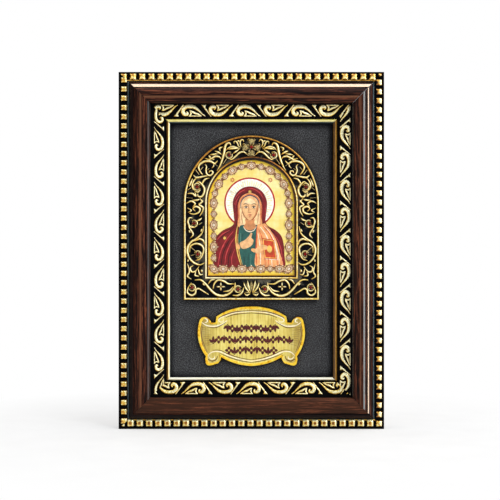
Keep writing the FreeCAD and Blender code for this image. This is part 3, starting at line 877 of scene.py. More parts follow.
class ICON_OT_studs(bpy.types.Operator):
    """Make the rows of pillow-shaped studs along the outer edge"""
    bl_idname = "icon.make_studs"
    bl_label = "Studs"

    def execute(self, context):
        sizes = settings().moulding
        height, pitch = sizes.stud_height / MM, sizes.stud_pitch / MM
        look = finish(gilding, "stud_gold", 0.16, 0.38, 0.7, 0.45, 0.2)
        rng = random.Random(7)
        for number, (side, length, _, _, _, moved, _, _, stud_middle) in enumerate(RAILS):
            place = rail_place(side)
            # The rail's tone is painted light and shade on its studs.
            form = Form(place, shift=150.0 * number, tone=GILT_TONES[side][0])
            each_way = round((length / 2 - 0.9) / pitch)
            for index in range(-each_way, each_way + 1):
                middle = moved + index * pitch + rng.uniform(-0.05, 0.05)
                across = stud_middle + rng.uniform(-0.04, 0.04)
                self.stud(form, side, middle, across, height, rng.uniform(-0.05, 0.0))
            form.make("stud_row_" + side, [look], sharp=60, cuts=mitre_cuts(place, length))
        return {"FINISHED"}

    def stud(self, form, side, middle, across, height, lift):
        """One stud, squarer towards its foot, with painted highlights at its crown and along its corners."""
        half_along, half_across, bright, painted_light_slope = STUD_SIZES[side]
        rings = []
        for share, rise in STUD_RINGS:
            power = 2 / (9.0 - 4.5 * (1 - share))
            # How bright the middle of the stud is, set rail by rail: where it is dark, that is a painted dark
            # reflection.
            crown = GILT_TONES[side][2] if share < 0.5 else 1.0
            top = CHANNEL + height * rise + (lift if rise > 0.1 else 0.0)
            rows = []
            marks = []
            for point in circle(0, 0, 1, 24):
                u, v = (math.copysign(abs(value) ** power, value) for value in point)
                rows.append((middle + half_along * share * u, across + half_across * share * v, top))
                edge = 1 - abs(abs(u) - abs(v)) / max(abs(u), abs(v))
                # Painted highlights along the corners and towards the crown, and painted light growing across
                # the stud; the foot is dark, and so is the flank past the bright share, painted shade on the
                # side rails.
                mark = crown * (0.18 + 0.82 * max(edge ** 1.5 * 0.95, (1 - share) ** 0.9) + painted_light_slope * v)
                marks.append(mark if rise > 0.2 and share <= bright else 0.02)
            rings.append(form.ring(rows, marks))
        form.stack(rings)


# Carved band: one cell of the scroll. Along the rail and up towards the sight
# edge as shares of a cell that is 15.05 long and as wide as the band, then the half width.
SCROLL_CELL = 15.05
SCROLL_BODY = ((0.028, 0.018, 0.2), (0.126, 0.18, 0.28), (0.224, 0.424, 0.42), (0.322, 0.636, 0.6),
               (0.42, 0.79, 0.78), (0.56, 0.86, 0.9), (0.713, 0.82, 0.92), (0.808, 0.65, 0.9),
               (0.836, 0.4, 0.88), (0.79, 0.2, 0.86), (0.7, 0.165, 0.84), (0.662, 0.29, 0.5),
               (0.69, 0.38, 0.26))
SCROLL_LEAF = (((0.173, 0.03, 0.26), (0.3, 0.2, 0.42), (0.392, 0.273, 0.48), (0.518, 0.44, 0.4),
                (0.573, 0.49, 0.24)),
               ((0.573, 0.49, 0.24), (0.54, 0.27, 0.38), (0.56, 0.12, 0.4), (0.6, 0.03, 0.3)),
               ((0.21, 0.02, 0.24), (0.4, 0.03, 0.32), (0.6, 0.02, 0.26)))
SCROLL_BAR = ((0.817, 0.99, 0.24), (0.937, 0.59, 0.32), (1.03, 0.28, 0.4), (1.06, 0.12, 0.42))
SCROLL_FOOT = ((1.04, 0.36), (1.015, 0.16), (0.975, -0.02), (1.07, -0.03), (1.165, -0.02), (1.115, 0.14))


def scroll_ground(s, d):
    """Height of the carved band's sloping ground."""
    share = (min(max(d, SLOPE_START), SLOPE_END) - SLOPE_START) / (SLOPE_END - SLOPE_START)
    return CHANNEL - share * SLOPE_FALL


class ICON_OT_rail_scrolls(bpy.types.Operator):
    """Make the gilt scrolls on the inner slope of the rails"""
    bl_idname = "icon.make_rail_scrolls"
    bl_label = "Rail scrolls"

    def execute(self, context):
        relief = settings().moulding.scroll_relief / MM
        look = finish(gilding, "scroll_gold", 0.08, 0.34, 0.8, 0.5, 0.24, 0.3, 0.62)
        for number, (side, length, phase, band_start, band_width, *_) in enumerate(RAILS):
            place = rail_place(side)
            # The rail's tone is painted light and shade on its carved band; the width is real shape.
            _, tone, _, widened = GILT_TONES[side]
            form = Form(place, shift=90.0 * number, tone=tone)
            reach = length / 2 - SLOPE_START
            first = math.floor((-reach - phase) / SCROLL_CELL) - 1
            last = math.ceil((reach - phase) / SCROLL_CELL) + 1
            for cell in range(first, last + 1):

                def put(rows):
                    """Rows of a cell on the rail. Every other cell is upside down."""
                    return [(phase + (cell + along) * SCROLL_CELL,
                             band_start + (1 - up if cell % 2 else up) * band_width, half * widened)
                            for along, up, half in rows]

                ridge(form, put(SCROLL_BODY), relief, scroll_ground, sides=9)
                for line in SCROLL_LEAF:
                    ridge(form, put(line), relief * 0.7, scroll_ground)
                ridge(form, put(SCROLL_BAR), relief * 0.75, scroll_ground, sides=9)
                foot = [(s, d) for s, d, _ in put([(*point, 0.0) for point in SCROLL_FOOT])]
                mound(form, foot, relief * 0.8, scroll_ground, 0.4)
            form.make("scroll_band_" + side, [look], sharp=70, cuts=mitre_cuts(place, length))
        return {"FINISHED"}


# Plaque

def stone_places():
    """Middle of every stone: round the arch, on both uprights and at both ends of the foot."""
    start, width = 25.5, 10.55
    places = []
    for angle, share in ((0.0, 0.48), (24.9, 0.33), (-24.9, 0.33), (73.4, 0.53), (-73.4, 0.53)):
        radius = start + share * width
        turn = math.radians(angle)
        places.append((radius * math.sin(turn), SPRING + radius * math.cos(turn)))
    for side in (-1, 1):
        for upright, share in ((0.79, 0.57), (0.472, 0.38), (0.126, 0.67)):
            places.append((side * (start + share * width), PLAQUE_SILL + 53 * upright))
        places.append((side * 7.289, 76.257))
    return places


# Rings of the plaque's outer edge, from its outline inwards, and of the inner edge, from its rim's foot
# to the window and down: distance from the outline or from the window, height, relief value
OUTER_RIM = ((0, 6.2, 0.1), (0, 8.85, 0.3), (0.1, 9.08, 0.9), (0.28, 9.2, 1.0), (0.5, 9.16, 0.8),
             (0.62, 9.2, 1.0), (0.84, 9.08, 0.85), (0.95, 8.8, 0.4), (1.0, HOLLOW, 0.0))
INNER_RIM = ((4.2, HOLLOW, 0.0), (2.1, HOLLOW, 1.0), (2.05, 8.4, 0.02), (1.9, 8.9, 0.35), (1.7, 9.14, 1.0),
             (1.45, 9.2, 1.2), (1.2, 9.14, 1.0), (1.02, 8.9, 0.3), (0.96, 8.6, 0.0), (0.5, 8.55, 0.0),
             (0.42, 8.7, 0.3), (0.22, 8.75, 0.42), (0.0, 8.6, 0.3), (0.0, 7.62, 0.1), (1.5, 7.62, 0.1),
             (1.5, 6.2, 0.1))


class ICON_OT_plaque(bpy.types.Operator):
    """Make the arched body of the plaque with its rims and sunken ground"""
    bl_idname = "icon.make_plaque"
    bl_label = "Plaque"

    def execute(self, context):
        form = Form()
        rings = []

        def place_ring(half, sill, height, mark, fade, painted_shade_right):
            """Ring whose relief value is lowered towards the top of the arch and to the right and raised to
            the left: painted shade and light on the gilding.
            """
            rows = arch_rows(half, sill, height)
            marks = [mark * (1 - fade * min(max((z - 132) / 18, 0.0), 1.0) - painted_shade_right * x / half)
                     for x, z, _ in rows]
            rings.append(form.ring(rows, marks))

        for inset, height, mark in OUTER_RIM:
            place_ring(PLAQUE_HALF - inset, PLAQUE_SILL + inset, height, mark, 0.4, 0.0)
        for margin, height, mark in INNER_RIM:
            place_ring(WINDOW_HALF + margin, WINDOW_SILL - margin, height, mark, 0.8, 0.2)
        sunken = (len(OUTER_RIM) - 1, len(OUTER_RIM))
        for index, (low, high) in enumerate(zip(rings, rings[1:] + rings[:1])):
            form.join(low, high, 1 if index in sunken else 0)
        looks = [finish(gilding, "plaque_rim_gold", 0.16, 0.44, 0.92, 0.5, 0.32), finish(plaque_ground)]
        form.make("plaque_body", looks, replaces=["arch_plaque"], sharp=50)
        return {"FINISHED"}


# Vines on the right half of the plaque: full width, then places across from the
# middle and up from the spring line. The left half mirrors them.
VINES = (
    (1.05, (11.3, 31.7), (12, 32.9), (13.5, 32.6), (14.5, 30.8), (14.9, 28.2), (15.8, 24.5), (17.1, 20.9),
     (18.7, 17.9)),
    (0.7, (4.2, 33.7), (4.8, 34.8), (6, 34.2), (6.2, 32.6), (5.6, 30.9)),
    (0.65, (9.5, 32.6), (9.5, 33.7), (8.4, 33.8), (7.6, 32.6), (7.2, 31.4), (6.1, 30.5)),
    (0.7, (6.2, 29.8), (8.4, 30.5), (10.2, 31), (12.4, 30.3), (13.8, 29)),
    (0.9, (7.6, 29.9), (10, 30), (12.5, 29.5)),
    (0.75, (6.9, 29.4), (8.7, 28.1), (9.9, 27.3)),
    (0.85, (2.5, 26.6), (3.7, 27.8), (5.6, 28), (7.3, 27), (9, 25.3), (10.9, 23.9), (12.2, 24.4)),
    (0.8, (13.7, 24.2), (15.5, 21.5)),
    (0.9, (15.9, 30.8), (17.5, 30), (17.1, 28.7)),
    (0.85, (16.5, 26.7), (18.2, 27.8), (20, 28.5)),
    (0.8, (18.7, 27), (21, 26.7), (22.6, 26.4)),
    (0.85, (16.6, 24.2), (17.6, 25.3), (19.6, 25.6), (21.5, 24.7), (23.2, 23.9), (25.4, 24.5)),
    (0.95, (18.7, 23.1), (19.6, 22), (20.4, 21.7), (22.4, 22.8), (25.2, 22.9), (27.4, 22), (28.8, 20.6),
     (28.9, 18.9), (27.7, 16.7), (26.8, 15.7)),
    (0.6, (18.7, 20.3), (20.1, 21.4)),
    (0.6, (20.7, 21.7), (20.7, 20.3), (21.8, 19.2)),
    (0.8, (25.4, 21.1), (24.6, 20), (25, 18.1), (24.3, 15.8), (22.6, 15.1), (21.2, 16.4), (21.5, 17.5),
     (22.9, 17.5), (23.2, 16.7)),
    (0.6, (23.2, 18.9), (24.3, 18.1)),
    (0.8, (26.6, 19.7), (27.7, 18.3)),
    (0.9, (30.5, 18.1), (28.8, 15.8)),
    (0.85, (23.2, 15.1), (26.3, 14.6), (28.5, 14.1), (30.5, 14.1), (31.7, 15.3)),
    (0.8, (29.9, 13.9), (31.6, 12.2), (32.4, 10), (32.1, 8), (31, 6.9)),
    (0.95, (30.2, 11.1), (28.8, 11.6), (27.1, 10.2), (25.8, 8), (26, 5.5), (27.4, 3.5), (29.3, 3.8),
     (29.4, 4.9)),
    (0.8, (23.2, 13.7), (25.4, 13), (26.7, 11.3), (26.8, 10.2)),
    (0.7, (28, 7.2), (29.4, 6), (31, 6.6)),
    (0.75, (31, 6), (30.5, 3.8), (32.4, 5.2), (34.9, 5.2)),
    (0.8, (33.3, 8.3), (34.7, 7.2)),
    (0.8, (32.4, 13.3), (33.5, 10.5), (34.1, 9.1)),
    (0.6, (32.4, 2.7), (35.5, 3)),
    (0.8, (28.5, 2.1), (29.9, 1.6), (32.4, 1.6)),
    (0.8, (28.3, 2.8), (27.2, 0.7), (28.6, -0.9), (26.5, -2.4), (26.8, -4.6), (28.3, -7.1)),
    (0.8, (35.6, -0.1), (33, 1), (30.9, -0.3), (32, -1.9)),
    (0.85, (34, -5.6), (31.4, -6.1), (28.8, -5), (28.3, -3), (30.4, -1.9), (32, -3), (30.9, -4.3)),
    (0.7, (34.6, -5.1), (33, -4), (35, -2.8)),
    (0.8, (32.5, -8.2), (34, -8.2), (34.8, -10.3), (33.5, -12.9), (30.9, -13.4)),
    (0.8, (30.4, -9.8), (28.3, -9.2), (27.2, -8.2)),
    (0.75, (28.8, -11.9), (27.2, -10.8)),
    (0.75, (34.8, -10.3), (34, -13.4), (32, -17.1), (33.5, -19.2)),
    (1, (26.2, -12.9), (27.2, -16.6), (30.4, -19.7), (33, -21.3), (34.8, -23.9), (35.1, -27), (34, -30.2),
     (31.4, -32.8), (28.3, -33.9), (25.7, -32.8)),
    (0.85, (25.7, -22.9), (26.2, -20.8), (28.3, -19.7), (30.9, -20.8)),
    (0.85, (33.8, -27), (33.5, -23.9), (30.9, -22.3), (27.8, -22.9), (26.2, -25), (26.7, -28.1),
     (28.3, -30.7), (30.5, -31.5)),
    (0.8, (33, -24.4), (29.9, -27)),
    (0.7, (31.3, -28.3), (33.2, -28.8)),
    (0.7, (28.6, -29.6), (29.8, -30.9)),
    (0.75, (32, -34.4), (33.5, -35.4), (33, -37.5), (30.9, -37.5), (28.8, -34.9)),
    (0.75, (29.3, -36), (28.3, -39.1), (26.7, -39.1)),
    (0.75, (35.1, -33.3), (34, -37.5), (35.1, -40.1), (33, -41.7)),
    (0.75, (30.4, -37.5), (30.9, -39.6), (28.8, -40.1)),
    (0.85, (33, -43.8), (34.6, -46.4), (35.1, -49), (33, -50.6), (30.9, -49.6), (30.4, -47.5), (28.8, -47),
     (26.2, -48.5), (23.6, -50.1)),
    (1, (30.9, -42.2), (27.8, -42.2), (25.2, -44.3), (22.5, -47.5), (19.4, -50.1), (15.7, -50.9),
     (12.1, -49.6), (9.4, -46.4), (8.9, -43.8)),
    (0.75, (23.6, -44.3), (22, -42.2), (19.9, -42)),
    (0.9, (21, -47), (20.4, -44.3), (18.3, -42.2), (15.2, -42.8), (12.6, -44.3), (9.4, -44.3)),
    (0.7, (15.2, -48.5), (12.1, -48), (10, -45.9)),
    (0.85, (10, -50.6), (7.3, -50.6), (5.2, -49), (4.2, -46.4)),
    (0.9, (0.6, -48.9), (1.6, -45.6), (2.1, -42.8)),
    (0.8, (0.9, -49.2), (3.1, -46.6), (4.2, -43.8)),
    (0.7, (0.8, -49.8), (2.6, -50.6), (3.8, -49.6)),
)
# Rings round the stones: middle, radius, first and last angle, full width
STONE_CURLS = (
    (12.2, 26.3, 1.75, -200, 120, 0.6),
    (29.8, 8.9, 1.85, -150, 150, 0.6),
    (31.5, -11.2, 1.85, 60, 330, 0.6),
    (29.5, -28, 1.8, 20, 300, 0.55),
    (32.6, -46.3, 1.85, 60, 340, 0.6),
    (7.3, -47.2, 1.8, -160, 150, 0.6),
)
BUDS = (
    (7.1, 34, 0.75, 0.55, 0.3),
    (16.8, -44.6, 0.45, 1.1, 0),
    (16.8, -47.1, 0.45, 1, 0),
    (15.5, -45.9, 1.1, 0.42, 0),
    (18.1, -45.9, 1.1, 0.42, 0),
    (22.9, 25.4, 1, 0.5, 0.9),
    (33.2, 11.2, 0.45, 0.9, 0.3),
    (26.9, 0.9, 0.5, 0.8, 0.2),
    (33.9, -15.6, 0.5, 0.9, -0.4),
    (27.4, -15, 0.5, 1, 0.4),
    (34.8, -31.6, 0.45, 0.8, 0.2),
    (27.2, -37.2, 0.6, 0.8, 0),
    (26.2, -44.6, 0.9, 0.5, 0.7),
    (14, -50.2, 0.9, 0.4, 0),
    (20.9, 24, 0.6, 0.4, 0.2),
)


def petal(x, z, length, width, turn, count=18):
    """Pointed petal outline from its root, at an angle from straight up."""
    out = []
    for index in range(count):
        angle = 2 * math.pi * index / count
        across = width / 2 * math.sin(angle) * (1 + 0.25 * math.cos(angle))
        along = length / 2 * (1 - math.cos(angle))
        out.append((x + along * math.sin(turn) + across * math.cos(turn),
                    z + along * math.cos(turn) - across * math.sin(turn)))
    return out


class ICON_OT_scrollwork(bpy.types.Operator):
    """Make the cast vines, leaves and rosette on the plaque's ground"""
    bl_idname = "icon.make_scrollwork"
    bl_label = "Scrollwork"

    def execute(self, context):
        sizes = settings().plaque
        relief = sizes.vine_relief / MM
        scale = sizes.vine_width / MM / 0.78
        gilt = finish(gilding, "vine_gold", 0.1, 0.3, 0.78, 0.55, 0.32)
        form = Form()
        for side in (-1, 1):
            for width, *points in VINES:
                route = [(side * x, SPRING + z) for x, z in points]
                ridge(form, swelling(route, width * scale), relief, HOLLOW, 0.45)
            for x, z, radius, first, last, width in STONE_CURLS:
                route = [(side * across, SPRING + up) for across, up in arc(x, z, radius, first, last, 8)]
                ridge(form, swelling(route, width * scale, 0.5, 0.5), relief * 0.8, HOLLOW, 0.5)
            for x, z, half_x, half_z, turn in BUDS:
                bud = oval(side * x, SPRING + z, half_x, half_z, 14, side * turn)
                mound(form, bud, relief * 0.85, HOLLOW)
        form.make("plaque_vines", [gilt], sharp=70)
        self.rosette(gilt)
        return {"FINISHED"}

    def rosette(self, gilt):
        """Four petals with small curls at the crown, and a spray of leaves at the foot."""
        form = Form()
        middle = SPRING + 30.56

        def curl(reach, turn, radius, angles, swell, height):
            x, z = reach * math.sin(turn), middle + reach * math.cos(turn)
            route = [(x + radius * math.cos(turn + a), z - radius * math.sin(turn + a)) for a in angles]
            ridge(form, swelling(route, *swell), height, HOLLOW, 0.3, finish=1)

        for index in range(4):
            turn = math.pi / 2 * index
            root = (1.3 * math.sin(turn), middle + 1.3 * math.cos(turn))
            mound(form, petal(*root, 4.1, 4.0, turn), 0.95, HOLLOW)
            for tip in (-1, 1):
                angles = [tip * a for a in (-2.0, -0.8, 0.5, 1.8, 2.9)]
                curl(4.3, turn + 0.34 * tip, 0.6, angles, (0.5, 0.5, 0.7), 1.1)
        for index in range(8):
            curl(2.15, math.pi / 4 * (index + 0.5), 0.55, (-1.6, -0.6, 0.5, 1.6), (0.55, 0.6, 0.6), 1.15)
        mound(form, petal(0, SPRING - 48.6, 6.2, 2.0, 0.0), 1.0, HOLLOW)
        for side in (-1, 1):
            mound(form, petal(side * 0.6, SPRING - 48.4, 5.6, 1.3, side * 0.5), 0.85, HOLLOW)
            mound(form, petal(side * 0.5, SPRING - 49.3, 3.6, 1.1, side * 1.45), 0.7, HOLLOW)
        form.make("plaque_rosette", [finish(olive_bronze), gilt], sharp=70)


# Section of a stone's collar: radius, height, relief value. Rings of a stone: radius, height, turn
COLLAR = ((1.42, 7.8, 0.0), (1.42, 8.25, 0.02), (1.3, 8.7, 0.08), (1.22, 9.0, 0.2), (1.08, 9.12, 0.34),
          (0.95, 9.08, 0.2), (0.9, 8.6, 0.0))
STONE = ((0.88, 8.6, 0.0), (0.9, 9.05, 0.0), (0.74, 9.32, 0.5), (0.5, 9.5, 1.0))


class ICON_OT_stones(bpy.types.Operator):
    """Make the red stones and the collars that hold them"""
    bl_idname = "icon.make_stones"
    bl_label = "Stones"

    def execute(self, context):
        collars = Form()
        stones = Form()
        for x, z in stone_places():
            turned(collars, x, z, COLLAR, 28)
            for claw in circle(x, z, 1.0, 4, math.pi / 4):
                mound(collars, circle(*claw, 0.24, 10), 0.5, 8.85)
            rings = [stones.ring([(*point, height) for point in circle(x, z, radius, 8, math.pi / 4 * turn)])
                     for radius, height, turn in STONE]
            stones.join(rings[0], rings[1])
            for low, high in zip(rings[1:], rings[2:]):
                for index in range(8):
                    after = (index + 1) % 8
                    stones.cap((low[index], low[after], high[index]))
                    stones.cap((low[after], high[after], high[index]))
            stones.cap(rings[0])
            stones.cap(rings[3])
        gilt = finish(gilding, "collar_gold", 0.2, 0.5, 0.95, 0.7, 0.3)
        collars.make("stone_collars", [gilt], sharp=60)
        stones.make("cut_stones", [finish(garnet)], replaces=["garnets"], sharp=4)
        return {"FINISHED"}


# Picture

# Rings of the printed panel: distance outside the window, height, relief value
PANEL_RINGS = ((1.3, 6.2, 0.0), (1.3, 7.55, 0.0), (1.25, 7.6, 0.0), (0.0, 7.6, 0.0), (-1.6, 7.6, 0.35),
               (-4.0, 7.6, 1.0), (-9.0, 7.6, 1.0))
PALE, BROWN, WHITE, TAN = range(4)


class ICON_OT_panel(bpy.types.Operator):
    """Make the printed panel with its border of medallions"""
    bl_idname = "icon.make_panel"
    bl_label = "Printed panel"

    def execute(self, context):
        form = Form()
        rings = [form.ring(arch_rows(WINDOW_HALF + margin, WINDOW_SILL - margin, height), mark)
                 for margin, height, mark in PANEL_RINGS]
        for index, (low, high) in enumerate(zip(rings, rings[1:])):
            form.join(low, high, 1 if index < 2 else 0)
        form.cap(rings[0], 1)
        form.cap(rings[-1], 0)
        form.make("picture_panel", [finish(panel_print), finish(hardboard)],
                  replaces=["icon_panel"], sharp=30)
        border = Form()
        for medallion in medallion_places(settings().plaque.medallion_pitch / MM):
            self.medallion(border, *medallion)
        looks = [finish(ink, "medallion_pale", 236, 214, 178), finish(ink, "medallion_brown", 124, 76, 48),
                 finish(ink, "medallion_white", 255, 248, 222), finish(ink, "medallion_tan", 192, 150, 108)]
        border.make("printed_medallions", looks, sharp=30)
        return {"FINISHED"}

    def medallion(self, form, large, x, z, turn):
        """Oval with a ring, spokes and a heart, among small round petals and two brackets."""
        half_a, half_b, petals = (2.95, 2.1, 10) if large else (1.85, 1.7, 6)

        def at(a, b):
            return (x + a * math.cos(turn) - b * math.sin(turn), z + a * math.sin(turn) + b * math.cos(turn))

        def disc(a, b, count, top, kind):
            sheet_of(form, oval(x, z, a, b, count, turn), top, PRINT, kind)

        def spot(angle, share, half):
            return (*at(math.cos(angle) * half_a * share, math.sin(angle) * half_b * share), half)

        disc(half_a, half_b, 26, 7.9, BROWN)
        disc(half_a - 0.35, half_b - 0.35, 26, 7.92, TAN)
        ring = [spot(2 * math.pi * index / 12, 0.6, 0.15) for index in range(13)]
        ridge(form, ring, 0.05, 7.92, 0.5, 5, 0.05, PALE)
        for index in range(8):
            spoke = [spot(math.pi / 4 * index, share, 0.13) for share in (0.2, 0.9)]
            ridge(form, spoke, 0.04, 7.92, 1.0, 5, 0.05, BROWN)
        disc(half_a * 0.24, half_b * 0.28, 12, 7.97, WHITE)
        disc(half_a * 0.1, half_b * 0.12, 10, 7.99, BROWN)
        for index in range(petals):
            angle = 2 * math.pi * (index + 0.5) / petals
            spot_x, spot_z = at(math.cos(angle) * (half_a + 0.1), math.sin(angle) * (half_b + 0.1))
            sheet_of(form, oval(spot_x, spot_z, 0.36, 0.3, 8), 7.94, PRINT, PALE if index % 2 else BROWN)
        for end in (-1, 1):
            a = end * (half_a + 0.35)
            bracket = [(*at(a, -0.55), 0.1), (*at(a + end * 0.15, 0), 0.15), (*at(a, 0.55), 0.1)]
            ridge(form, bracket, 0.07, 7.88, 0.4, 5, 0.3, BROWN)


def medallion_places(pitch):
    """Medallions along a line inside the window: large or small, middle and angle."""
    half = WINDOW_HALF - 2.9
    low = WINDOW_SILL + 3.5
    places = []
    count = round(math.pi * half / pitch / 2) * 2
    for index in range(count + 1):
        angle = math.pi * index / count
        large = (index - count // 2) % 2 == 0
        places.append((large, half * math.cos(angle), SPRING + half * math.sin(angle), angle + math.pi / 2))
    upright = SPRING - low
    steps = round(upright / pitch)
    edge_large = places[0][0]
    for side in (-1, 1):
        for index in range(1, steps):
            large = edge_large == (index % 2 == 0)
            places.append((large, side * half, SPRING - upright * index / steps, math.pi / 2))
    across = round(2 * half / pitch / 2) * 2
    for index in range(across + 1):
        corner = index in (0, across)
        x = 2 * half * index / across - half
        large = corner or (index - across // 2) % 2 == 1
        places.append((large, x, low, math.copysign(0.7, x) if corner else 0.0))
    return places


# Painted figure: layers from the back to the front. Finish, then outline across
# from the middle and up from the spring line.
FIGURE_LAYERS = (
    ("mantle", (-20, -35), (-20.4, -28), (-20.2, -22), (-19.2, -18.4), (-15.6, -15), (-11, -12.8),
     (-9.4, -10.4), (-9.7, -6), (-10.2, -1.5), (-9.9, 2), (-8, 5.8), (-4.8, 8.3), (-0.8, 9.2), (3.2, 8.3),
     (6.4, 5.8), (8.3, 2), (8.6, -1.5), (8.1, -6), (7.8, -10.4), (9.6, -12.8), (13.2, -14.8), (16.4, -18),
     (17.8, -23), (18.2, -29), (18, -35), (9, -35.2), (0, -35.3), (-9, -35.2)),
    ("mantle_shade", (-8.4, -12.6), (-7.6, -7), (-8.2, -2.4), (-7.9, 1), (-6.4, 4.2), (-3.8, 6.1),
     (-0.8, 6.8), (2.2, 6.1), (4.8, 4.2), (6.3, 1), (6.6, -2.4), (6, -7), (6.6, -12.6), (3.4, -17),
     (-0.8, -18.6), (-5, -17)),
    ("trim", (-7.5, -12), (-7, -7.6), (-7.2, -3), (-6.9, 0.4), (-5.6, 3.2), (-3.4, 4.9), (-0.8, 5.5),
     (1.8, 4.9), (4, 3.2), (5.3, 0.4), (5.6, -3), (5.4, -7.6), (5.9, -12), (2.6, -15.6), (-0.8, -17),
     (-4.2, -15.6)),
    ("veil", (-6.7, -11.2), (-6.3, -7.2), (-6.4, -3), (-6.1, 0), (-4.9, 2.5), (-3, 3.9), (-0.8, 4.4),
     (1.4, 3.9), (3.3, 2.5), (4.5, 0), (4.8, -3), (4.7, -7.2), (5.1, -11.2), (2.2, -14.4), (-0.8, -15.6),
     (-3.8, -14.4)),
    ("robe", (-6.2, -12.6), (-3.4, -11.9), (1.8, -11.9), (4.6, -12.6), (4.2, -18), (3.4, -26), (2.6, -35),
     (-4.6, -35), (-6.2, -28), (-7.2, -21), (-7, -16)),
    ("stole", (3.2, -12.2), (5.9, -11.6), (7.7, -11.4), (11, -15.6), (13.8, -20.6), (15.6, -27), (16.6, -35),
     (3, -35.1), (2.3, -27), (2.6, -19.6)),
    ("skin_shade", (-3.1, -8.6), (-3.2, -11), (-4.2, -12.9), (-2.9, -14.3), (-0.8, -15), (1.3, -14.3),
     (2.6, -12.9), (1.6, -11), (1.5, -8.6)),
    ("skin", (-0.8, -9.7), (-2.6, -8.9), (-4.2, -7), (-5.2, -4.2), (-5.4, -1.4), (-4.8, 1.2), (-3.2, 3),
     (-0.8, 3.7), (1.6, 3), (3.2, 1.2), (3.8, -1.4), (3.6, -4.2), (2.6, -7), (1, -8.9)),
    ("skin_shade", (3.8, -0.6), (3.9, -2.8), (3.2, -5.6), (2.2, -7.6), (0.6, -9.2), (-0.6, -9.5), (0.7, -8.4),
     (1.8, -6.4), (2.5, -4.2), (2.9, -2.2)),
    ("skin_light", (-0.8, 2.6), (-3, 1.6), (-3.9, 0), (-2.8, -0.7), (-0.8, -0.5), (1.2, -0.7), (2.3, 0),
     (1.4, 1.6)),
)
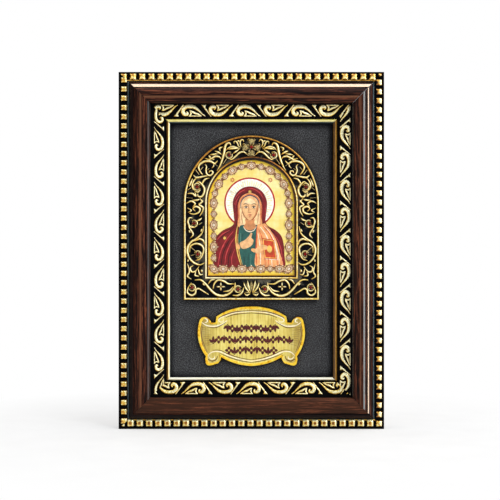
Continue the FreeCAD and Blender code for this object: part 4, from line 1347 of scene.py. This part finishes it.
# Lines of the painting: finish, full width and places
FIGURE_LINES = (
    ("mantle_line", 0.6, (-18.4, -34.6), (-17, -27), (-14, -20.6), (-10, -15.6)),
    ("mantle_line", 0.55, (-14.6, -34.8), (-14, -28.6), (-11.6, -22.6), (-8.8, -18.6)),
    ("mantle_line", 0.5, (-10.6, -34.8), (-10.8, -30), (-9.2, -25.4)),
    ("mantle_line", 0.6, (-18.8, -20), (-15.8, -17), (-12, -15)),
    ("mantle_line", 0.45, (16.9, -34.2), (16.6, -27), (14.6, -20.6), (11.6, -16.4)),
    ("mantle_line", 0.55, (-9.2, -1), (-8.6, 2.6), (-6.4, 5.7), (-3.6, 7.4)),
    ("mantle_line", 0.4, (-8.6, -2.6), (-8.2, 0.9), (-6.6, 3.9)),
    ("mantle_line", 0.45, (-1.6, 8.1), (1.6, 7.6), (4.6, 5.6), (6.6, 2.6)),
    ("mantle_line", 0.4, (-8.9, -9.6), (-9.1, -5.6)),
    ("mantle_line", 0.4, (7.5, -8.6), (7.7, -4.6), (7.6, -1.4)),
    ("mantle_dark", 0.55, (-16.6, -34.8), (-15.6, -28), (-12.9, -21.8), (-9.4, -16.8)),
    ("mantle_dark", 0.5, (-12.5, -34.8), (-12.4, -29.6), (-10.4, -24.2)),
    ("mantle_dark", 0.45, (-8.8, -12.6), (-11.8, -15.2), (-15, -17.4), (-18.2, -21.4)),
    ("mantle_dark", 0.45, (8.4, -12.8), (11.4, -15.2), (14.4, -18.4)),
    ("mantle_dark", 0.4, (-9.4, -3.4), (-9.2, 0.6), (-7.4, 4.3), (-4.6, 6.5)),
    ("gold_line", 0.7, (-7.6, -12.4), (-8.3, -17), (-8.4, -22), (-7.2, -29), (-5.4, -34.9)),
    ("gold_line", 0.35, (-7.3, -17), (-7.4, -22), (-6.3, -29), (-4.7, -34.6)),
    ("cream_line", 0.5, (-4.4, -12.9), (-3, -14.9), (-0.8, -15.7), (1.4, -14.9), (2.8, -12.9)),
    ("stole_red", 0.5, (6.4, -12.6), (9.8, -16.4), (12.2, -21.6), (13.6, -27.6), (14.4, -34.6)),
    ("cream_line", 0.8, (5, -13.2), (8, -17.4), (9.8, -22.6), (10.8, -28.4), (11.4, -34.6)),
    ("cream_line", 0.6, (7, -12.6), (10.6, -16.8), (13, -22), (14.7, -28.4), (15.6, -34.6)),
    ("stole_red", 0.45, (4, -14.2), (6, -19.6), (7.2, -26), (7.6, -34.6)),
    ("cream_line", 0.7, (3.6, -16.6), (4.6, -22.8), (5, -29), (5, -34.6)),
    ("stole_red", 0.4, (9, -20.8), (9.6, -27.6), (9.4, -34.6)),
    ("stole_red", 0.6, (3.2, -12.8), (2.8, -19.6), (2.6, -27), (3.2, -34.8)),
    ("robe_dark", 0.45, (-4.6, -16.6), (-4.8, -22.6)),
    ("robe_dark", 0.45, (1, -16.6), (0.8, -19.6)),
    ("robe_dark", 0.5, (-1.6, -27.6), (-1.8, -34.6)),
    ("robe_dark", 0.45, (-4.2, -28.2), (-3.6, -34.6)),
    ("robe_light", 0.4, (-5.8, -16.6), (-6, -22.6)),
    ("robe_light", 0.4, (-0.2, -28), (-0.4, -34.4)),
    ("blue_line", 0.6, (-5.9, -2.6), (-5.6, 0.6), (-4.1, 3), (-0.8, 4.3), (2.5, 3), (4, 0.6), (4.3, -2.6)),
    ("brow", 0.42, (-4.4, -0.9), (-3.2, -0.25), (-1.7, -0.75)),
    ("brow", 0.42, (2.8, -0.9), (1.6, -0.25), (0.1, -0.75)),
    ("brow", 0.42, (-4, -2.15), (-2.9, -1.6), (-1.85, -2.2)),
    ("brow", 0.42, (2.4, -2.15), (1.3, -1.6), (0.25, -2.2)),
    ("fold", 0.2, (-3.7, -2.75), (-2.9, -2.95), (-2.1, -2.7)),
    ("fold", 0.2, (2.1, -2.75), (1.3, -2.95), (0.5, -2.7)),
    ("fold", 0.34, (-1.6, -1), (-1.35, -3), (-1.55, -4.6)),
    ("fold", 0.28, (-1.7, -5), (-0.8, -5.35), (0.1, -5)),
    ("lip", 0.5, (-1.9, -6.55), (-1.2, -6.3), (-0.8, -6.5), (-0.4, -6.3), (0.3, -6.55)),
    ("lip", 0.55, (-1.5, -7), (-0.8, -7.2), (-0.1, -7)),
    ("fold", 0.22, (-1.4, -7.85), (-0.8, -8), (-0.2, -7.85)),
    ("fold", 0.45, (-5.2, -1.8), (-5, -4.2), (-4, -6.8), (-2.5, -8.7), (-0.8, -9.5)),
    ("fold", 0.45, (3.6, -1.8), (3.4, -4.2), (2.4, -6.8), (0.9, -8.7), (-0.8, -9.5)),
    ("stole_red", 0.32, (-6.6, -11.8), (-6.5, -7.2), (-6.7, -3), (-6.4, 0.2), (-5.2, 2.8), (-3.1, 4.4),
     (-0.8, 4.9), (1.5, 4.4), (3.6, 2.8), (4.8, 0.2), (5.1, -3), (4.9, -7.2), (5, -11.8)),
    ("stole_red", 0.3, (-7.7, -11.8), (-7.3, -7.2), (-7.5, -3), (-7.2, 0.6)),
    ("stole_red", 0.3, (6.1, -11.4), (5.7, -7.2), (5.9, -3), (5.6, 0.6)),
    ("fold", 0.3, (-5.6, -5), (-5.2, -8.6), (-4.6, -11.6)),
    ("fold", 0.3, (4, -5), (3.7, -8.6), (3.2, -11.6)),
)
BOOK = ((6.0, -19.2), (12.6, -20.2), (14.0, -31.0), (7.2, -30.4))
HANDS = (
    ((3.2, -24.4), (5.4, -23), (8.2, -23.3), (9.2, -24.5), (8.2, -25.5), (6.2, -25.7), (5, -27.4),
     (2.6, -27.6), (1.6, -26)),
    ((-6.4, -22), (-3.8, -20.4), (-1.6, -18.4), (-0.2, -16.2), (0.6, -16.6), (0, -19), (1.2, -20.2),
     (0.5, -22.8), (-2, -24.6), (-5, -25)),
)


# Small folds of the hands, places of the flowers on the mantle, and the colours of the painting
HAND_FOLDS = (((5.4, -23.7), (8.1, -23.9)), ((5.4, -24.6), (8.4, -24.8)), ((-1.8, -19.6), (-0.1, -17.3)),
              ((-3.0, -21.6), (0.3, -20.2)))
FLOWERS = ((-0.8, 6.2), (-14.6, -19.2))
INKS = {
    "halo": (255, 252, 238), "halo_rim": (176, 8, 16), "halo_ray": (250, 232, 150), "mantle": ("mantle",),
    "mantle_shade": (92, 14, 20), "mantle_line": (200, 66, 68), "mantle_dark": (60, 8, 16),
    "trim": (246, 176, 112), "veil": (252, 212, 158), "robe": (40, 92, 84), "robe_dark": (14, 40, 44),
    "robe_light": (120, 168, 150), "stole": (240, 166, 106), "stole_red": (214, 72, 40),
    "skin": (240, 186, 130), "skin_shade": (206, 138, 88), "skin_light": (252, 216, 168),
    "gold_line": (246, 200, 100), "cream_line": (255, 234, 204), "blue_line": (18, 44, 88),
    "brow": (66, 26, 14), "fold": (150, 70, 36), "lip": (178, 40, 34), "eye": (30, 16, 14),
    "book": (200, 70, 36), "page": (255, 244, 216),
}


class ICON_OT_figure(bpy.types.Operator):
    """Make the painted half-length figure with its halo"""
    bl_idname = "icon.make_figure"
    bl_label = "Painted figure"

    def execute(self, context):
        form = Form()
        number = list(INKS).index
        halo = (-0.9, SPRING + 0.1)

        def flat(name, outline, top):
            sheet_of(form, outline, top, PRINT, number(name))

        def line(name, route, top, step=0.4):
            ridge(form, route, 0.04, top, step, 5, 0.1, number(name))

        def raised(points):
            return [(x, SPRING + z) for x, z in points]

        def flower(name, x, z, petals, reach, width, base):
            for index in range(petals):
                turn = 2 * math.pi * index / petals
                root = (x + reach * math.sin(turn), z + reach * math.cos(turn))
                mound(form, petal(*root, 1.0, width, turn, 10), 0.05, base, 0.1, number(name))

        flat("halo", circle(*halo, 13.4, 72), 7.66)
        rim = [(x, z, 0.5) for x, z in circle(*halo, 13.55, 48)]
        line("halo_rim", rim + rim[:1], 7.66, 0.6)
        rays = zip(circle(*halo, 9.6, 56), circle(*halo, 11.2, 56), circle(*halo, 12.2, 56))
        for index, (root, short, long) in enumerate(rays):
            line("halo_ray", [(*root, 0.24), (*(long if index % 2 else short), 0.24)], 7.66, 1.0)
        top = 7.7
        for name, *outline in FIGURE_LAYERS:
            flat(name, smooth_line(raised(outline), 0.6, True), top)
            top += 0.015
        for name, width, *points in FIGURE_LINES:
            line(name, swelling(raised(points), width, 0.4, 0.4), top)
        for x in (-2.9, 1.3):
            flat("page", oval(x, SPRING - 2.35, 0.95, 0.36, 16), top + 0.01)
            flat("eye", oval(x, SPRING - 2.3, 0.46, 0.42, 14), top + 0.03)
        corners = raised(BOOK)
        middle = [sum(values) / 4 for values in zip(*corners)]
        flat("page", [(x + 0.55, z - 0.35) for x, z in corners], top + 0.02)
        flat("book", corners, top + 0.05)
        inner = [(x + 0.12 * (middle[0] - x), z + 0.12 * (middle[1] - z), 0.22) for x, z in corners]
        for first, second in zip(inner, inner[1:] + inner[:1]):
            line("gold_line", [first, second], top + 0.05, 2.0)
        mound(form, oval(*middle, 1.4, 2.0, 20, 0.12), 0.04, top + 0.05, 0.1, number("gold_line"))
        for x, z, turn in ((-7.4, -23.6, 0.5), (1.6, -26.0, 1.2)):
            flat("trim", oval(x, SPRING + z, 1.0, 1.9, 20, turn), top + 0.065)
        for points in HANDS:
            flat("skin", smooth_line(raised(points), 0.6, True), top + 0.07)
        for points in HAND_FOLDS:
            line("fold", swelling(raised(points), 0.28), top + 0.07)
        for x, z in raised(FLOWERS):
            flower("gold_line", x, z, 6, 0.0, 0.5, top)
        for side in (-1, 1):
            flower("halo_rim", side * 10.4, SPRING + 12.7, 8, 0.4, 0.45, 7.6)
        looks = [finish(ink, name, *colour) for name, colour in INKS.items()]
        form.make("painted_figure", looks, sharp=30)
        return {"FINISHED"}


# Title plate

PLATE_MIDDLE = 50.35
PLATE_HALF = (29.85, 16.35)
# Right half of the title plate's outline, from its top: where each bow ends, in shares of the plate's half
# width and half height, and how far it bulges
PLATE_SHARES = ((0.643, 0.667, 0.077), (0.66, 0.46, 0.0), (0.777, 0.45, 0.0), (0.958, 0.5, 0.52),
                (0.835, -0.68, 0.122), (0.842, -0.84, 0.12), (0.785, -0.985, 0.2), (0.65, -0.925, 0.05),
                (0.59, -0.84, 0.2), (0.592, -0.66, 0.1), (0.0, -1.0, 0.068))


def plate_rows(inset, height):
    """Closed row of points round the title plate, drawn in by an inset."""
    half_x, half_z = PLATE_HALF[0] - inset, PLATE_HALF[1] - inset
    right = [(0.0, half_z)]
    for x_share, z_share, bulge in PLATE_SHARES:
        start = right[-1]
        run, rise = x_share * half_x - start[0], z_share * half_z - start[1]
        parts = 3 if bulge == 0 else 14
        for index in range(1, parts + 1):
            t = index / parts
            along, out = t, bulge * 4 * t * (1 - t)
            if bulge > 0.4:
                along, out = (1 - math.cos(math.pi * t)) / 2, math.sin(math.pi * t) * bulge
            right.append((start[0] + run * along - rise * out, start[1] + rise * along + run * out))
    left = [(-x, z) for x, z in reversed(right[1:-1])]
    return [(x, PLATE_MIDDLE + z, height) for x, z in right + left]


# Drawn lines on the right half of the title plate, from its middle: finish, full
# width and places
PLATE_LINES = (
    (1, 0.5, (0, 14.2), (9, 13.4), (16.4, 11), (18, 9.8)),
    (2, 0.55, (0, 13.6), (9, 12.8), (16.2, 10.4), (17.9, 9), (17.2, 7.9), (15.6, 8), (15, 9.1)),
    (1, 0.5, (0, 12.8), (9, 12), (14, 10.3)),
    (2, 0.7, (13.4, 8.6), (16.2, 6.7), (20, 5.5), (24.4, 5.9), (27.2, 7.6)),
    (1, 0.45, (14.2, 7.6), (17, 5.8), (20, 4.7), (24.4, 5.1)),
    (1, 0.5, (27.6, 5.8), (28.2, -0.6), (24.9, -9.2)),
    (1, 0.3, (26.8, 5.4), (27.3, -0.4), (24.2, -8.8)),
    (1, 0.45, (0, -14.4), (6, -13.4), (12, -11.6), (17.2, -9.4)),
    (2, 0.65, (0, -13.7), (6, -12.7), (12, -10.8), (17.4, -8.5), (21.6, -8.7), (23.8, -10.6)),
    (1, 0.45, (0, -12.9), (6, -11.9), (12, -10), (17.2, -7.7), (21.2, -7.7)),
    (1, 0.6, (24, -12.4), (21.8, -13.6), (19.4, -12.8), (18.6, -10.9)),
    (2, 0.6, (23.4, -11.2), (22, -12.5), (20.4, -12.2), (20.2, -11.1)),
    (2, 0.7, (27.6, 8.4), (26.2, 9.8), (24.4, 9.3), (24.2, 8), (25.4, 7.6)),
    (1, 0.4, (27.4, 9.4), (25.6, 10.6), (23.6, 9.9), (23.3, 8.2)),
)


# Section of the title plate's edge, from behind: inset and height
PLATE_EDGE = ((0.0, 6.2), (0.0, 6.98), (0.1, 7.14), (0.3, 7.2), (1.0, 7.2), (1.2, 7.12), (1.35, 6.92))


class ICON_OT_title_plate(bpy.types.Operator):
    """Make the scroll-shaped title plate with its drawn ornament"""
    bl_idname = "icon.make_title_plate"
    bl_label = "Title plate"

    def execute(self, context):
        form = Form()
        rings = [form.ring(plate_rows(inset, height), 1.0) for inset, height in PLATE_EDGE]
        form.stack(rings, 1, cap_finish=0)
        form.make("title_plate", [finish(title_gold), finish(title_rim)],
                  replaces=["cartouche"], sharp=34)
        drawn = Form()
        for side in (-1, 1):
            for kind, width, *points in PLATE_LINES:
                route = swelling([(side * x, PLATE_MIDDLE + z) for x, z in points], width * 1.25, 0.6, 0.5)
                ridge(drawn, route, 0.07, PLATE_FACE, 0.5, 5, 0.1, kind - 1)
            for index in range(9):
                z = 5.0 - 1.25 * index
                x = side * (27.4 - 0.35 * index)
                route = [(x, PLATE_MIDDLE + z, 0.09),
                         (x - side * (3.4 + index % 2), PLATE_MIDDLE + z * 0.86, 0.05)]
                ridge(drawn, route, 0.04, PLATE_FACE, 1.0, 5, 0.06)
        motif_rows(drawn)
        looks = [finish(ink, "title_maroon", 78, 14, 10), finish(ink, "title_cream", 255, 244, 208)]
        drawn.make("title_ornament", looks)
        return {"FINISHED"}


def motif_rows(form):
    """Three rows of small flowers and leaf sprigs across the middle of the plate."""
    for middle_z, half_span in ((4.25, 14.0), (-1.85, 22.0), (-7.75, 13.4)):
        z = PLATE_MIDDLE + middle_z
        count = round(half_span / 3.0)
        for index in range(-count, count + 1):
            x = index * half_span / (count + 0.35)
            if index % 2 == 0:
                leaves = [(math.pi / 2 * quarter, 0.35, 1.9, 1.65) for quarter in range(4)]
                foot = z
            else:
                up = math.pi * (abs(index) % 4 == 1)
                leaves = [(up - 0.85, 0.2, 2.8, 1.5), (up, 0.2, 3.6, 1.5), (up + 0.85, 0.2, 2.8, 1.5)]
                foot = z - 1.75 * math.cos(up)
                mound(form, oval(x, z - 2.0 * math.cos(up), 0.5, 0.4, 12), 0.1, PLATE_FACE, 0.1)
            for turn, out, length, width in leaves:
                leaf = petal(x + out * math.sin(turn), foot + out * math.cos(turn), length, width, turn, 12)
                mound(form, leaf, 0.1, PLATE_FACE, 0.1)


# Board and fittings

class ICON_OT_boards(bpy.types.Operator):
    """Finish the suede board, the backing board and the foam pads"""
    bl_idname = "icon.finish_boards"
    bl_label = "Boards"

    def execute(self, context):
        for name, maker in (("mat_board", suede), ("backing_board", hardboard), ("plaque_pads", foam_tape),
                            ("cartouche_pads", foam_tape)):
            wear_node(name, finish(maker))
        return {"FINISHED"}


def behind(x, z, height):
    """Place of a point by its width, its level and how far it stands out of the back."""
    return (x, BACK_Y + height, z)


def slotted_head(x, z, profile, slot_width, slot_depth, turn):
    """Turned screw head that is cut in two and joined below its slot: forms, each with its cuts."""
    parts = []
    across = Vector((math.cos(turn), 0, math.sin(turn)))
    for side in (-1, 1):
        form = Form(behind)
        turned(form, x, z, profile, 36)
        corner = Vector(behind(x, z, 0)) * MM + across * side * slot_width / 2 * MM
        parts.append((form, ((corner, -across * side),)))
    lowered = Form(behind)
    floor = profile[-1][1] - slot_depth
    turned(lowered, x, z, [(radius * 0.985, min(height, floor)) for radius, height in profile], 36)
    return parts + [(lowered, ())]


# Sections of the screw heads: radius and height above the back
DOMED_HEAD = ((1.2, -1.0), (1.2, 1.38), (2.6, 1.4), (2.6, 1.9), (2.45, 2.3), (2.0, 2.6), (1.2, 2.76),
              (0.3, 2.8))
FLUSH_HEAD = ((1.2, -1.0), (1.2, 0.1), (2.25, 0.95), (2.28, 1.02), (2.1, 1.1), (1.0, 1.2), (0.2, 1.22))


class ICON_OT_fittings(bpy.types.Operator):
    """Make the turn buttons, screws and hanger on the back"""
    bl_idname = "icon.make_fittings"
    bl_label = "Fittings"

    def execute(self, context):
        steel = finish(plain_metal, "zinc_steel", 0.34, 1.0, 190, 188, 182)
        enamel = finish(plain_metal, "black_enamel", 0.4, 0.2, 30, 30, 32)
        brass = finish(plain_metal, "hanger_brass", 0.3, 1.0, 206, 166, 92)
        wear_node("v_nails", steel)
        wear_node("hanger_plate", brass)
        for side, side_name in ((-1, "left"), (1, "right")):
            for end, end_name in ((-1, "lower"), (1, "upper")):
                place = (side * BUTTON_X, HEIGHT / 2 + end * BUTTON_Z)
                self.button(end_name + "_" + side_name, side, *place, enamel)
        self.screws(steel)
        self.ring(brass)
        return {"FINISHED"}

    def button(self, spot, side, x, z, look):
        """Flat tongue with rounded edges and a raised rib towards its tip."""
        name = "turn_button_" + spot
        low, high = sorted((x + side * 0.5, x - side * 11.5))
        form = Form(behind)
        rings = []
        for inset, height in ((0.15, 0.1), (0.0, 0.25), (0.0, 1.1), (0.2, 1.28), (0.35, 1.3)):
            outline = arc(high, z, 4.0 - inset, -90, 90, 16) + arc(low, z, 4.0 - inset, 90, 270, 16)
            rings.append(form.ring([(*point, height) for point in outline], 0.8))
        form.stack(rings)
        rib = [(x - side * reach, z, half) for reach, half in ((4.6, 0.9), (8.0, 1.0), (11.6, 0.9))]
        ridge(form, rib, 0.28, 1.28, 0.8, 9, 0.1)
        turned(form, x, z, ((3.0, 1.2), (3.0, 1.36), (2.7, 1.4), (1.5, 1.4)), 32)
        form.make("tongue_" + spot, [look], body=name, replaces=[name])

    def screws(self, look):
        """Slotted heads: four domed ones, all alike but turned at random, and a flush one."""
        rng = random.Random(11)
        parts = []
        for side in (-1, 1):
            for end in (-1, 1):
                parts += slotted_head(side * BUTTON_X, HEIGHT / 2 + end * BUTTON_Z, DOMED_HEAD, 0.6, 0.55,
                                      rng.uniform(0, math.pi))
        self.group("button_screw_heads", parts, look, "button_screws")
        self.group("hanger_screw_head", slotted_head(0, HINGE_Z - 6.3, FLUSH_HEAD, 0.55, 0.45, 0.4), look,
                   "hanger_screw")

    def group(self, name, parts, look, node):
        """Cut the parts of screw heads one by one and join them into one object."""
        whole = bmesh.new()
        for number, (form, cuts) in enumerate(parts):
            whole.from_mesh(form.mesh("%s_%d" % (name, number), [look], cuts=cuts))
        mesh = bpy.data.meshes.new(name)
        whole.to_mesh(mesh)
        whole.free()
        mesh.materials.append(look)
        piece = add(name, mesh)
        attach(piece, "root")
        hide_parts(node)

    def ring(self, look):
        """Bent wire loop that hangs from the barrel of the hanger plate."""
        half, corner = 6.5, 1.6
        path = arc(half - corner, -corner, corner, 90, 0, 6) + arc(0, -2.5, half, 0, -180, 24)
        path += arc(corner - half, -corner, corner, 180, 90, 6)
        form = Form(behind)
        rings = []
        for index, (x, z) in enumerate(path):
            before, after = path[index - 1], path[(index + 1) % len(path)]
            run = math.dist(before, after)
            normal = ((after[1] - before[1]) / run, (before[0] - after[0]) / run)
            rings.append(form.ring([(x + normal[0] * out, HINGE_Z + z + normal[1] * out, 2.1 + up)
                                    for out, up in circle(0, 0, 0.8, 14)], 0.8))
        for low, high in zip(rings, rings[1:] + rings[:1]):
            form.join(low, high)
        form.make("hanger_loop", [look], body="hanger_ring", replaces=["hanger_ring"],
                  sharp=60)


# Stage

def flat_mesh(name, corners, material):
    """One flat face for the floor or the backdrop."""
    shell = bmesh.new()
    shell.faces.new([shell.verts.new(corner) for corner in corners])
    bmesh.ops.subdivide_edges(shell, edges=shell.edges[:], cuts=7, use_grid_fill=True)
    mesh = bpy.data.meshes.new(name)
    shell.to_mesh(mesh)
    shell.free()
    mesh.materials.append(material)
    add(name, mesh)


def pale_paper(name, keep):
    """White paper, plain white to rays that look at it. Near the icon it keeps a share of its shading."""
    f = Finish(name, roughness=0.9, specular_ior_level=0.1)
    grain = f.noise(f.body(), 40.0, 4.0)
    f.wear(f.ramp(grain, (0.3, 226, 226, 226), (0.7, 236, 236, 236)))
    rays = f.node("LightPath")
    mirrored = f.reckon("MAXIMUM", rays.outputs["Is Glossy Ray"], rays.outputs["Is Transmission Ray"])
    seen = f.reckon("MAXIMUM", rays.outputs["Is Camera Ray"], mirrored)
    glow = f.node("Emission", Color=(1, 1, 1, 1), Strength=1.0)
    away = f.node("VectorMath", {"operation": "LENGTH"}, i0=f.body()).outputs["Value"]
    plain = f.grade(away, 0.06, 0.22, 1 - keep, 1.0)
    share = f.reckon("MULTIPLY", seen, plain)
    mix = f.node("MixShader", i0=share, i1=f.shader.outputs[0], i2=glow.outputs[0])
    f.tree.links.new(mix.outputs[0], f.output.inputs["Surface"])
    return f.material


def soft_light(name, place, size, power):
    """Rectangular lamp that points at the middle of the icon."""
    lamp = bpy.data.lights.new(name, "AREA")
    lamp.shape = "RECTANGLE"
    lamp.size, lamp.size_y = size
    lamp.energy = power
    holder = add(name, lamp)
    holder.location = place
    holder.rotation_euler = (Vector((0, 0, 0.1)) - Vector(place)).to_track_quat("-Z", "Y").to_euler()


# Place, size and share of the key lamp's power, in metres from the middle of the icon's foot
LAMPS = (
    ("key", (0.6, -0.95, 0.9), (0.4, 0.4), 1.0),
    ("fill", (-0.7, -1.3, 0.3), (0.7, 0.7), 0.28),
    ("overhead", (0.0, -0.05, 1.0), (1.0, 0.7), 0.9),
    ("right_side", (0.95, -0.34, 0.25), (0.4, 0.7), 0.8),
)


class ICON_OT_stage(bpy.types.Operator):
    """Make the camera, the lamps, the floor and the backdrop"""
    bl_idname = "icon.make_stage"
    bl_label = "Stage"

    def execute(self, context):
        stage = settings().stage
        scene = context.scene
        camera = bpy.data.cameras.new("front_camera")
        camera.lens = stage.lens
        camera.sensor_width = 36.0
        camera.clip_start = 0.01
        holder = add("front_camera", camera)
        holder.location = (-0.00074, -0.0062 - stage.distance, 0.09776)
        holder.rotation_euler = (math.pi / 2, 0, 0)
        scene.camera = holder
        scene.view_settings.view_transform = "Standard"
        flat_mesh("floor", ((-3, -3, 0), (3, -3, 0), (3, 1.6, 0), (-3, 1.6, 0)),
                  pale_paper("floor_paper", 0.5))
        flat_mesh("backdrop", ((-3, 1.6, 0), (3, 1.6, 0), (3, 1.6, 3), (-3, 1.6, 3)),
                  pale_paper("backdrop_paper", 0.0))
        world = bpy.data.worlds.new("even_light")
        world.use_nodes = True
        nodes, links = world.node_tree.nodes, world.node_tree.links
        background = nodes["Background"]
        background.inputs["Color"].default_value = (1, 1, 1, 1)
        strength = nodes.new("ShaderNodeMapRange")
        strength.inputs["To Min"].default_value = stage.world_level
        links.new(nodes.new("ShaderNodeLightPath").outputs["Is Camera Ray"], strength.inputs["Value"])
        links.new(strength.outputs["Result"], background.inputs["Strength"])
        scene.world = world
        for name, place, size, share in LAMPS:
            soft_light(name, place, size, stage.key_power * share)
        return {"FINISHED"}


# Add-on

ORDER = (ICON_OT_stage, ICON_OT_rails, ICON_OT_studs, ICON_OT_rail_scrolls, ICON_OT_boards, ICON_OT_plaque,
         ICON_OT_scrollwork, ICON_OT_stones, ICON_OT_panel, ICON_OT_figure, ICON_OT_title_plate,
         ICON_OT_fittings)


class ICON_PT_sidebar(bpy.types.Panel):
    bl_idname = "ICON_PT_sidebar"
    bl_label = "Framed icon"
    bl_space_type = "VIEW_3D"
    bl_region_type = "UI"
    bl_category = "Icon"

    def draw(self, context):
        for operator in ORDER:
            self.layout.operator(operator.bl_idname)
        chosen_settings = context.scene.icon_settings
        for group in ("moulding", "plaque", "colours", "stage"):
            box = self.layout.box()
            values = getattr(chosen_settings, group)
            for name in values.bl_rna.properties.keys():
                if name not in ("rna_type", "name"):
                    box.prop(values, name)


CLASSES = (MouldingSettings, PlaqueSettings, ColourSettings, StageSettings, IconSettings, *ORDER,
           ICON_PT_sidebar)


def register():
    for item in CLASSES:
        bpy.utils.register_class(item)
    bpy.types.Scene.icon_settings = PointerProperty(type=IconSettings)


def unregister():
    del bpy.types.Scene.icon_settings
    for item in reversed(CLASSES):
        bpy.utils.unregister_class(item)


def main():
    register()
    for operator in ORDER:
        group, name = operator.bl_idname.split(".")
        getattr(getattr(bpy.ops, group), name)()


if __name__ == "__main__":
    main()
